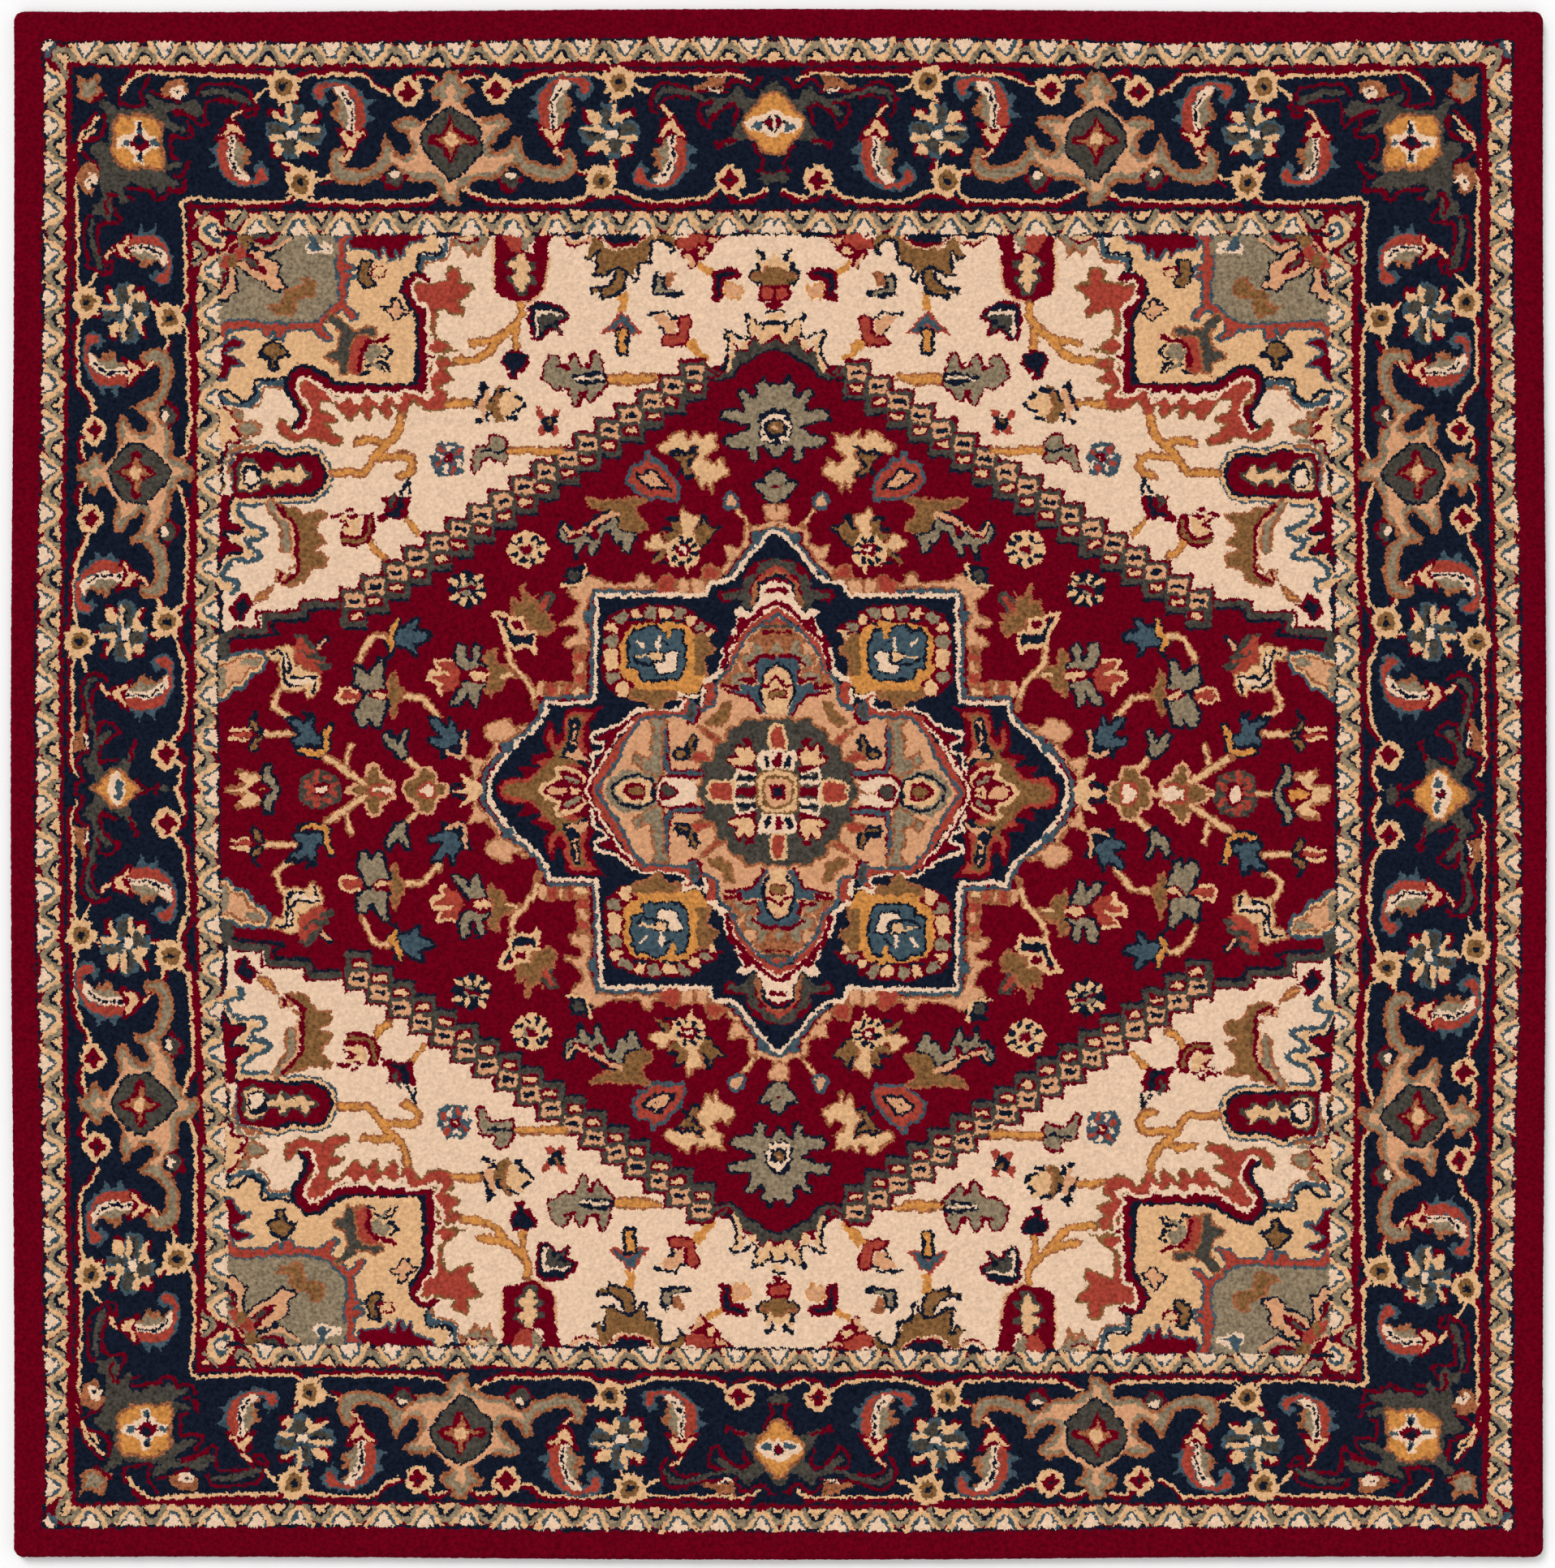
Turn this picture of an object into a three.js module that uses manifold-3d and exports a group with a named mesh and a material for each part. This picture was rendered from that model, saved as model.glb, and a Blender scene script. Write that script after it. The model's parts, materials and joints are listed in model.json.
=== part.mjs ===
import * as THREE from "three";
import { mergeVertices } from "three/addons/utils/BufferGeometryUtils.js";
import Module from "manifold-3d";

// A square hand-tufted wool rug lying flat: cotton canvas and edge tape against the floor, the latex
// coat and the tufting cloth over them, and the cut pile on top, one piece for each area of the design.
// Origin: middle of the underside. +X across the rug, +Y along it, +Z out of the pile. Millimetres.

// Driving dimensions
const WIDTH = 1822;
const LENGTH = 1838;
const CORNER_RADIUS = 12;
const GAP = 0.3; // left between pieces that touch
const CANVAS_THICKNESS = 1.2;
const LATEX_THICKNESS = 1.5;
const CLOTH_THICKNESS = 0.9;
const PILE_HEIGHT = 11;
const TAPE_WIDTH = 33;
const TAPE_SETBACK = 5; // the tape stops this far inside the rug's edge
const HEM_WIDTH = 28; // the tufting cloth's margin, turned under
const CLOTH_SETBACK = 2;

// Where each area of the pile starts, measured in from the rug's edge
const EDGE_BAND = 0;
const OUTER_GUARD = 36;
const MAIN_BORDER = 72;
const INNER_GUARD = 222;
const FIELD = 260;

// The middle of the design, one quarter of it: from the Y axis round to the X axis
const FIELD_X = WIDTH / 2 - FIELD;
const FIELD_Y = LENGTH / 2 - FIELD;
const HEXAGON = [[0, 525], [480, 222], [FIELD_X, 172]];
const MEDALLION = [[0, 303], [65, 243], [80, 222], [214, 222], [214, 98], [272, 98], [290, 65], [350, 0]];
const CARTOUCHE = [[0, 215], [62, 160], [75, 125], [115, 88], [160, 85], [228, 0]];

// Heights of the layers, from the floor up
const LATEX_BOTTOM = CANVAS_THICKNESS + GAP;
const CLOTH_BOTTOM = LATEX_BOTTOM + LATEX_THICKNESS + GAP;
const PILE_BOTTOM = CLOTH_BOTTOM + CLOTH_THICKNESS + GAP;

const wasm = await Module();
wasm.setup();

const group = new THREE.Group();

const looks = {
  crimson: { color: 0x7d0018, roughness: 0.95 },
  navy: { color: 0x111c33, roughness: 0.95 },
  cream: { color: 0xe8c79b, roughness: 0.95 },
  ivory: { color: 0xe6c8a8, roughness: 0.95 },
  peach: { color: 0xd9a578, roughness: 0.95 },
  canvas: { color: 0xcdbfa4, roughness: 0.9 },
  tape: { color: 0xd8ccb4, roughness: 0.9 },
  cloth: { color: 0xd2cabb, roughness: 0.9 },
  latex: { color: 0xc9b98f, roughness: 0.7 },
};

function addMesh(name, geometry, look) {
  const mesh = new THREE.Mesh(geometry, new THREE.MeshStandardMaterial({ ...looks[look], metalness: 0 }));
  mesh.name = name;
  group.add(mesh);
  return mesh;
}

// An outline is a list of [x, y] points, anticlockwise. shrink moves every side inwards.
function shrink(outline, by) {
  const sides = outline.map(([x, y], i) => {
    const [nextX, nextY] = outline[(i + 1) % outline.length];
    const length = Math.hypot(nextX - x, nextY - y);
    const [dx, dy] = [(nextX - x) / length, (nextY - y) / length];
    return { x: x - dy * by, y: y + dx * by, dx, dy };
  });
  return sides.map((side, i) => {
    const before = sides[(i + sides.length - 1) % sides.length];
    const turn = before.dx * side.dy - before.dy * side.dx;
    const along = ((side.x - before.x) * side.dy - (side.y - before.y) * side.dx) / turn;
    return [before.x + before.dx * along, before.y + before.dy * along];
  });
}

function extrude(outline, bottom, height) {
  const shape = new THREE.Shape(outline.map(([x, y]) => new THREE.Vector2(x, y)));
  const geometry = new THREE.ExtrudeGeometry(shape, { depth: height, bevelEnabled: false });
  return geometry.translate(0, 0, bottom);
}

function arc(centreX, centreY, radius, startDegrees, endDegrees, steps) {
  return Array.from({ length: steps + 1 }, (_, i) => {
    const angle = THREE.MathUtils.degToRad(startDegrees + ((endDegrees - startDegrees) * i) / steps);
    return [centreX + radius * Math.cos(angle), centreY + radius * Math.sin(angle)];
  });
}

function roundedRectangle(halfX, halfY, radius) {
  const [x, y] = [halfX - radius, halfY - radius];
  return [
    ...arc(x, y, radius, 0, 90, 6),
    ...arc(-x, y, radius, 90, 180, 6),
    ...arc(-x, -y, radius, 180, 270, 6),
    ...arc(x, -y, radius, 270, 360, 6),
  ];
}

function rectangle(halfX, halfY) {
  return [[-halfX, -halfY], [halfX, -halfY], [halfX, halfY], [-halfX, halfY]];
}

// One side of a frame with mitred corners: halfAlong and halfAcross are the rug's half sizes along and
// across that side, outer and inner the frame's distances in from the rug's edge.
function mitredSide(halfAlong, halfAcross, outer, inner, radius) {
  const [x, y] = [halfAlong - outer - radius, halfAcross - outer - radius];
  const outerEdge = radius > 0
    ? [...arc(x, y, radius, 45, 90, 3), ...arc(-x, y, radius, 90, 135, 3)]
    : [[x, y], [-x, y]];
  return [[inner - halfAlong, halfAcross - inner], [halfAlong - inner, halfAcross - inner], ...outerEdge];
}

// Four mitred pieces, one for each side, each turned a quarter turn on from the last.
function addFrame(name, outer, inner, radius, bottom, height, look) {
  ["north", "west", "south", "east"].forEach((side, quarterTurns) => {
    const sideways = quarterTurns % 2 === 1;
    const [halfAlong, halfAcross] = sideways ? [LENGTH / 2, WIDTH / 2] : [WIDTH / 2, LENGTH / 2];
    const outline = mitredSide(halfAlong, halfAcross, outer, inner, radius);
    const mesh = addMesh(`${name}_${side}`, extrude(shrink(outline, GAP / 2), bottom, height), look);
    mesh.rotation.z = (quarterTurns * Math.PI) / 2;
  });
}

// The same outline in all four quarters of the rug; mirrored ones are reversed to stay anticlockwise.
function addQuarters(name, outline, look) {
  for (const [corner, signX, signY] of [["ne", 1, 1], ["nw", -1, 1], ["sw", -1, -1], ["se", 1, -1]]) {
    const mirrored = outline.map(([x, y]) => [signX * x, signY * y]);
    if (signX * signY < 0) mirrored.reverse();
    addMesh(`${name}_${corner}`, extrude(shrink(mirrored, GAP / 2), PILE_BOTTOM, PILE_HEIGHT), look);
  }
}

function toManifold(geometry) {
  const bare = geometry.clone();
  bare.deleteAttribute("normal");
  bare.deleteAttribute("uv");
  const merged = mergeVertices(bare, 1e-4);
  return new wasm.Manifold(new wasm.Mesh({
    numProp: 3,
    vertProperties: new Float32Array(merged.attributes.position.array),
    triVerts: new Uint32Array(merged.index.array),
  }));
}

function toGeometry(manifold) {
  const { vertProperties, triVerts } = manifold.getMesh();
  const geometry = new THREE.BufferGeometry();
  geometry.setAttribute("position", new THREE.BufferAttribute(vertProperties, 3));
  geometry.setIndex(new THREE.BufferAttribute(triVerts, 1));
  return geometry;
}

function addCanvasAndTape() {
  const inset = TAPE_SETBACK + TAPE_WIDTH + GAP / 2;
  const canvas = rectangle(WIDTH / 2 - inset, LENGTH / 2 - inset);
  addMesh("backing_canvas", extrude(canvas, 0, CANVAS_THICKNESS), "canvas");
  addFrame("edge_tape", TAPE_SETBACK, TAPE_SETBACK + TAPE_WIDTH, 0, 0, CANVAS_THICKNESS, "tape");
}

// The cloth's margin is turned under all round, so the cloth is a shallow tray that the latex fills.
function addClothAndLatex() {
  const outline = roundedRectangle(
    WIDTH / 2 - CLOTH_SETBACK, LENGTH / 2 - CLOTH_SETBACK, CORNER_RADIUS - CLOTH_SETBACK);
  const recess = rectangle(WIDTH / 2 - HEM_WIDTH, LENGTH / 2 - HEM_WIDTH);
  const recessDepth = CLOTH_BOTTOM - LATEX_BOTTOM;
  const whole = toManifold(extrude(outline, LATEX_BOTTOM, recessDepth + CLOTH_THICKNESS));
  const hollow = toManifold(extrude(recess, LATEX_BOTTOM - 1, recessDepth + 1));
  addMesh("tufting_cloth", toGeometry(whole.subtract(hollow)), "cloth");
  addMesh("latex_coat", extrude(shrink(recess, GAP), LATEX_BOTTOM, LATEX_THICKNESS), "latex");
}

function addBorderPile() {
  addFrame("pile_edge_band", EDGE_BAND, OUTER_GUARD, CORNER_RADIUS, PILE_BOTTOM, PILE_HEIGHT, "crimson");
  addFrame("pile_outer_guard", OUTER_GUARD, MAIN_BORDER, 0, PILE_BOTTOM, PILE_HEIGHT, "cream");
  addFrame("pile_main_border", MAIN_BORDER, INNER_GUARD, 0, PILE_BOTTOM, PILE_HEIGHT, "navy");
  addFrame("pile_inner_guard", INNER_GUARD, FIELD, 0, PILE_BOTTOM, PILE_HEIGHT, "cream");
}

// A quarter outline, from the Y axis to the X axis, mirrored into one that goes all the way round.
function allRound(quarter) {
  const inner = quarter.slice(1, -1);
  const [top, side] = [quarter[0], quarter.at(-1)];
  return [
    side, ...[...inner].reverse(), top, ...inner.map(([x, y]) => [-x, y]),
    [-side[0], 0], ...inner.map(([x, y]) => [-x, -y]).reverse(), [0, -top[1]], ...inner.map(([x, y]) => [x, -y]),
  ];
}

function addFieldPile() {
  const medallionInwards = [...MEDALLION].reverse();
  const spandrel = [...HEXAGON, [FIELD_X, FIELD_Y], [0, FIELD_Y]];
  const field = [[FIELD_X, 0], ...[...HEXAGON].reverse(), ...MEDALLION];
  const medallion = [...medallionInwards, ...CARTOUCHE];
  addQuarters("pile_spandrel", spandrel, "ivory");
  addQuarters("pile_field", field, "crimson");
  addQuarters("pile_medallion", medallion, "navy");
  addMesh("pile_cartouche", extrude(shrink(allRound(CARTOUCHE), GAP / 2), PILE_BOTTOM, PILE_HEIGHT), "peach");
}

addCanvasAndTape();
addClothAndLatex();
addBorderPile();
addFieldPile();

export default group;
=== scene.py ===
"""A square hand-tufted wool rug, laid flat and seen from straight above.

The design is drawn as yarns over one quarter of the rug and mirrored. The pile is one fine net of
triangles that rolls over at the rug's edge, and each triangle takes the yarn drawn under it. The net is
then cut into pieces, one or more for each area of pile in the CAD model.
"""
import json
import math

import bpy
import numpy as np
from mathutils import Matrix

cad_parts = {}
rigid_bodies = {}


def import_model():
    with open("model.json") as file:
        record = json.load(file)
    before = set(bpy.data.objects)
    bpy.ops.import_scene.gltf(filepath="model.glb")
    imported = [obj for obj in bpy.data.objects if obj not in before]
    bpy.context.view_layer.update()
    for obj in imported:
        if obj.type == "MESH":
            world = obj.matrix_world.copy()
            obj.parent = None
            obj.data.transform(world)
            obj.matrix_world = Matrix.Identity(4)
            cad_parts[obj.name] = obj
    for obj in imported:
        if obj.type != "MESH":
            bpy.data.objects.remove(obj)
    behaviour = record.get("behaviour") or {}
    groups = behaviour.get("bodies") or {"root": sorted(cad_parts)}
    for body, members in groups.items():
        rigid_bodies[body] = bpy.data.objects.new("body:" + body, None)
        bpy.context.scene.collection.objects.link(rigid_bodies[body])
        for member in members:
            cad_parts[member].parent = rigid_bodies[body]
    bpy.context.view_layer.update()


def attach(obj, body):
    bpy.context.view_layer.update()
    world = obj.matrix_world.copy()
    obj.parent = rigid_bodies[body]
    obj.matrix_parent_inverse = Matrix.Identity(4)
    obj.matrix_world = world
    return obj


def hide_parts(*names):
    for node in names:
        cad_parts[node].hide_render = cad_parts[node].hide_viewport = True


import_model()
MM = 0.001

# ---------------------------------------------------------------- the drawing: yarns and brushes
# The design is drawn once, as one quarter of the rug, and mirrored. Places are millimetres from the
# middle of the rug: the first number to the right, the second up.

YARNS = ["crimson", "navy", "ivory", "cream", "sage", "slate", "gold", "rust", "tan", "peach", "blue", "olive"]
DRAWING_STEP = 0.5  # mm between samples of the drawing
QUARTER_START = -15  # the drawing starts a little past the middle, on both axes
QUARTER_SIZE = 951

design = np.zeros((int(QUARTER_SIZE / DRAWING_STEP), int(QUARTER_SIZE / DRAWING_STEP)), np.uint8)


def window(points, margin):
    """The samples of the drawing round some points: the slices, and each sample's place."""
    low = np.floor((points.min(0) - margin - QUARTER_START) / DRAWING_STEP).astype(int)
    high = np.ceil((points.max(0) + margin - QUARTER_START) / DRAWING_STEP).astype(int) + 1
    low, high = np.clip([low, high], 0, len(design))
    across = (np.arange(low[0], high[0]) + 0.5) * DRAWING_STEP + QUARTER_START
    up = (np.arange(low[1], high[1]) + 0.5) * DRAWING_STEP + QUARTER_START
    return slice(low[1], high[1]), slice(low[0], high[0]), *np.meshgrid(across, up)


def is_inside(points, x, y):
    inside = np.zeros(x.shape, bool)
    for (x0, y0), (x1, y1) in zip(points, np.roll(points, -1, axis=0)):
        if y0 != y1:
            crosses = (y0 > y) != (y1 > y)
            inside ^= crosses & (x < (x1 - x0) * (y - y0) / (y1 - y0) + x0)
    return inside


def distance_to(points, x, y):
    nearest = np.full(x.shape, np.inf)
    for (x0, y0), (x1, y1) in zip(points[:-1], points[1:]):
        dx, dy = x1 - x0, y1 - y0
        share = np.clip(((x - x0) * dx + (y - y0) * dy) / max(dx * dx + dy * dy, 1e-9), 0, 1)
        nearest = np.minimum(nearest, np.hypot(x - x0 - share * dx, y - y0 - share * dy))
    return nearest


def split_band(band):
    name = band.rstrip("0123456789.")
    return YARNS.index(name), float(band[len(name):] or 0)


def stroke(name, width, points):
    rows, columns, x, y = window(points, width)
    design[rows, columns][distance_to(points, x, y) < width / 2] = YARNS.index(name)


def fill(bands, points):
    """Fills an outline with bands of yarn: 'navy3<tan5>sage7>peach' is a 3 mm navy rim outside it, then
    inwards from it 5 mm of tan, 7 mm of sage and peach for the rest."""
    outside, _, inside = bands.rpartition("<")
    inside = inside.split(">")
    closed = np.vstack([points, points[:1]])
    if outside:
        yarn, width = split_band(outside)
        rows, columns, x, y = window(points, width)
        design[rows, columns][distance_to(closed, x, y) < width] = yarn
    rows, columns, x, y = window(points, 0)
    within = is_inside(points, x, y)
    design[rows, columns][within] = split_band(inside[-1])[0]
    if len(inside) > 1:
        depth = distance_to(closed, x, y)
        for number in range(len(inside) - 1, 0, -1):
            reach = sum(split_band(band)[1] for band in inside[:number])
            design[rows, columns][within & (depth < reach)] = split_band(inside[number - 1])[0]


def read_shapes(text):
    """A figure's shapes, each a list of words. A line that starts with a space goes on with the last."""
    shapes = []
    for row in text.strip("\n").splitlines():
        if row.startswith(" "):
            shapes[-1] += row.split()
        elif row:
            shapes.append(row.split())
    return shapes


def paint(text, place=None):
    """Paints a figure, shape by shape, each over the ones before: 'cream>navy 1,2 3,4 ...' fills an
    outline, and 'cream 4 1,2 3,4 ...' is a line 4 mm wide."""
    for name, *words in read_shapes(text):
        width = float(words.pop(0)) if "," not in words[0] else 0
        points = np.array([[float(n) for n in word.split(",")] for word in words])
        if place:
            points = place(points)
        if width:
            stroke(name, width, points)
        else:
            fill(name, points)


def placed(x, y, flip_x=1, flip_y=1, turn=0, scale=1, then=None):
    """A placing: a figure drawn round (0, 0) goes to (x, y), mirrored, turned (degrees) and scaled."""
    c, s = math.cos(math.radians(turn)), math.sin(math.radians(turn))

    def move(points):
        p = points * [flip_x, flip_y] * scale
        p = np.stack([p[:, 0] * c - p[:, 1] * s + x, p[:, 0] * s + p[:, 1] * c + y], 1)
        return then(p) if then else p

    return move


def to_right_side(points):
    """The right-hand border repeats the top one, turned over the diagonal, and bows out a little."""
    along, out = points[:, 0], points[:, 1]
    sideways = np.interp(along, [0, 190, 400, 600, 760], [3, 1, -8, -4, -6])
    endways = np.interp(along, [0, 190, 430, 600, 760], [-13, -8, -8, -3, 0])
    return np.stack([768 + 0.9 * (out - 768) + sideways, along + endways], 1)

# ---------------------------------------------------------------- grounds
GROUNDS = """
crimson -15,-15 930,-15 930,936 -6,936
navy -6,-15 882,-15 882,205 878,300 875,420 875,650 872,760 873,884 700,882 470,881 235,884 -6,884
crimson -6,-15 879,-15 879,230 872,430 869,650 868,830 868,880 700,878 470,877 235,880 -6,880
navy -6,-15 847,-15 847,200 844,300 842,450 839,650 836,800 836,853 600,850 300,850 -6,851
crimson -6,-15 692,-15 692,200 688,420 686,681 470,680 -6,681
navy -6,-15 661,-15 660,200 656,330 653,500 652,655 470,652 -6,655
ivory -6,-15 656,-15 655,200 652,330 649,500 648,651 470,648 -6,651
"""


# ---------------------------------------------------------------- guard stripes
# One repeat of a guard stripe, drawn round (0, 0): a cream triangle that points down and, half a
# repeat along, a sage one that points up.
GUARD_CREAM = """
cream -23,12 -18,13 -15,9 -13,12 -9,4 -5,-3 0,-6 5,-3 9,4 13,12 17,13 22,12 16,3 12,-5 6,-12 0,-14 -6,-12
 -12,-5 -17,3
blue -14,12 -10,3 -5,-4 0,-7 5,-4 10,3 14,12
ivory -11,13 -9,6 -5,4 -4,-1 0,-4 3,-1 4,3 9,7 10,13 4,12 0,13 -5,12
"""
GUARD_SAGE = """
sage -20,-12 -14,-3 -8,5 -3,9 3,9 8,4 14,-3 19,-12 14,-14 -15,-14
navy -14,-14 -9,-5 -4,0 0,2 4,0 8,-5 13,-14
cream -10,-14 -9,-9 -5,-9 -4,-5 0,-2 3,-5 5,-8 9,-10 10,-14 4,-13 0,-14 -4,-13
"""


def guard_stripe(start, end, repeats, facing, bow):
    """Repeats of a guard stripe from start to end. facing is the turn that its up side takes, and bow
    how far the stripe leans out at evenly spaced places along it."""
    start, end = np.array(start, float), np.array(end, float)
    out = np.array([-math.sin(math.radians(facing)), math.cos(math.radians(facing))])
    for half in range(2 * repeats + 1):
        share = half / 2 / repeats
        x, y = start + (end - start) * share + out * np.interp(share, np.linspace(0, 1, len(bow)), bow)
        wobble = math.sin(half * 2.3)
        figure = GUARD_SAGE if half % 2 else GUARD_CREAM
        paint(figure, placed(x, y, -1 if half % 3 else 1, 1, facing + 4 * wobble, 1 + 0.06 * wobble))


OUTER_GUARD_CORNER = """
crimson 834,856 838,853 866,853 872,862 873,880 846,880 840,872
navy 3 838,881 874,882 874,853
sage 828,859 832,868 838,875 846,878 854,876 860,869 860,861 856,852 850,845 846,838 841,836 840,844
 846,852 836,862 832,857
navy 838,860 841,868 849,870 854,866 853,858 848,852 842,853
cream 833,860 840,861 846,868 853,866 852,860 848,856 847,850 843,850 840,856
blue 856,877 858,881 864,880 870,866 871,862 866,862 861,868
ivory 861,881 866,884 871,881 873,872 869,868 864,874
"""
INNER_GUARD_CORNER = """
crimson 650,652 662,640 662,626 684,626 684,681 644,681
cream 643,657 650,662 654,670 660,675 666,674 673,670 679,661 678,651 672,644 664,639 657,637 650,634
 645,638 642,645 646,650 652,648 654,655
blue 653,661 658,666 664,667 671,661 671,652 664,645 655,641 651,644 656,650
ivory 655,656 659,662 665,660 668,655 663,650 656,649
navy 652,651 656,657 661,656 656,650
sage 5 668,678 676,670 683,662
cream 675,675 680,681 684,677 682,670
navy 640,652 650,654 653,649 645,650
crimson 640,642 644,650 648,640 652,632 645,632
"""


def draw_guards():
    paint("""
crimson 5 -6,853 235,853 700,852 836,855 839,840 841,650 844,430 849,230 850,-15
navy 3 -6,654 470,653 655,653 657,500 659,330 662,200 662,-15
""")
    paint(GUARD_SAGE, placed(676, -13, 1, 1, 90, 0.8))
    guard_stripe((-30, 870), (818, 868), 17, 0, bow=(0, 1, 0, -3, -1, 0, 1))
    guard_stripe((863, -36), (858, 833), 17, -90, bow=(3, 4, 1, 0, 0))
    guard_stripe((0, 666), (610, 665), 12, 180, bow=(0, 1, 0))
    guard_stripe((674, 5), (666, 609), 12, 90, bow=(-2, -3, 0, 1, 0))
    paint(GUARD_SAGE, placed(637, 667, 1, 1, 180))
    paint(OUTER_GUARD_CORNER)
    paint(INNER_GUARD_CORNER)
    paint(GUARD_SAGE, placed(674, 630, 1, 1, 90, 0.8))


# ---------------------------------------------------------------- main border
VINES = """
crimson 5 30,842 36,846 60,846 100,845 158,846 200,848 235,846 262,846 284,842 294,832 303,830
cream 3.5 22,834 30,839 45,842 62,841 100,841 150,841 162,838
cream 4 143,822 152,825 160,831 168,833
cream 4 192,836 208,841 235,842 268,841 283,836 292,829 302,827
crimson 5 334,838 344,845 356,845 368,836
cream 3.5 336,837 350,840 358,838 367,832
crimson 5 392,836 402,843 412,846 420,838
cream 3.5 395,835 410,841 416,838
crimson 5 450,822 466,830 478,843 505,847 545,846 560,840
cream 4 452,820 466,826 476,838 482,842 505,843 545,841 562,834
crimson 5 586,842 604,846 660,846 720,850 756,848 766,836
cream 4 588,837 604,841 640,841 690,843 742,846 752,843 762,835 768,828 776,819
cream 4 590,830 600,822 609,812
crimson 4 612,812 606,804 610,794 622,792 622,800 612,803
crimson 4 625,801 622,806 612,818
crimson 5 4,701 20,692 40,691 52,698
crimson 5 64,700 76,690 110,686 160,686 176,697 210,695 222,687 330,687 346,695 358,704
cream 4 5,705 20,697 33,695 42,702
cream 4 58,712 66,704 76,696 92,694 110,691 150,692 166,699 184,705
cream 4 212,706 222,693 260,691 330,692 345,699 362,706
crimson 5 392,699 404,688 440,686 548,687
crimson 5 566,692 580,686 690,685
cream 4 394,701 406,694 440,691 500,691 540,691 549,696
cream 4 564,700 576,691 620,690 660,692 690,696 697,688
crimson 4 186,812 190,806
cream 3 182,822 187,808
cream 4 186,738 187,730 196,727
cream 4 210,726 220,727 228,728
crimson 4 184,742 182,728 188,722
crimson 4 210,721 226,723 234,730
cream 4 520,722 532,717 541,719
crimson 4 518,717 530,711
cream 4 574,738 568,733 564,727
crimson 4 577,735 570,729
crimson 4 560,826 559,812 563,806
"""
RING_FLOWER = """
cream -19,0 -17,9 -20,13 -9,15 -4,21 3,18 10,21 13,12 19,14 18,3 15,-4 18,-11 9,-13 6,-20 -3,-19 -8,-14
 -16,-15 -14,-7
olive -10,0 -8,9 0,12 9,9 11,0 7,-9 -1,-12 -8,-8
navy -4,-2 -3,5 3,6 5,-1 1,-5
"""
DIAMOND_FLOWER = """
cream -18,2 -14,12 -7,13 -4,18 4,18 8,12 15,9 18,2 14,-6 11,-13 3,-18 -8,-17 -12,-10 -17,-7
crimson -13,0 -7,3 -4,9 0,12 4,9 6,3 12,1 12,-4 6,-6 4,-12 -1,-13 -4,-7 -10,-4
navy -2,-1 -1,3 3,2 2,-2
"""
BOTEH = """
blue -14,-4 -17,-13 -29,-18 -19,-24 -18,-32 -27,-40 -16,-42 -10,-52 0,-61 14,-66 31,-66 45,-62 50,-54
 50,-45 44,-39 38,-32 35,-37 31,-38 29,-44 34,-48 33,-52 24,-54 15,-46 5,-30 0,-2
rust -13,0 -1,0 -3,-30 2,-50 12,-58 26,-58 34,-54 36,-46 40,-41 45,-44 47,-55 42,-60 30,-63 13,-63 -3,-54
 -12,-43 -15,-27
tan 12,-3 14,-12 20,-17 25,-18 29,-27 24,-26 22,-31 26,-36 20,-38 18,-44 27,-52 22,-56 8,-50 5,-30 8,-8
sage 9,-4 12,-13 19,-19 18,-24 14,-28 18,-34 15,-40 19,-47 25,-54 18,-58 8,-50 4,-30 6,-8
ivory -3,1 8,1 7,-15 6,-27 11,-40 19,-48 25,-55 22,-58 12,-58 5,-50 0,-38 -3,-26 -1,-12
navy 3 2,-4 2,-10
navy 3 2,-15 1,-24 1,-31
navy 4 4,-35 7,-42
navy 3 10,-46 13,-49
crimson 7 4,22 13,33
crimson 3,23 -3,20 -5,13 -12,7 -17,-1 -17,-8 -11,-6 -4,-1 4,-2 10,-4 16,-9 23,-8 18,-1 16,6 14,18 9,20
cream 3,18 -2,14 -3,8 -9,3 -14,0 -12,-2 -5,-1 -1,3 2,6 7,3 10,-2 16,-2 15,3 11,10 7,15
cream 4 4,23 9,29 14,32
"""
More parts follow.
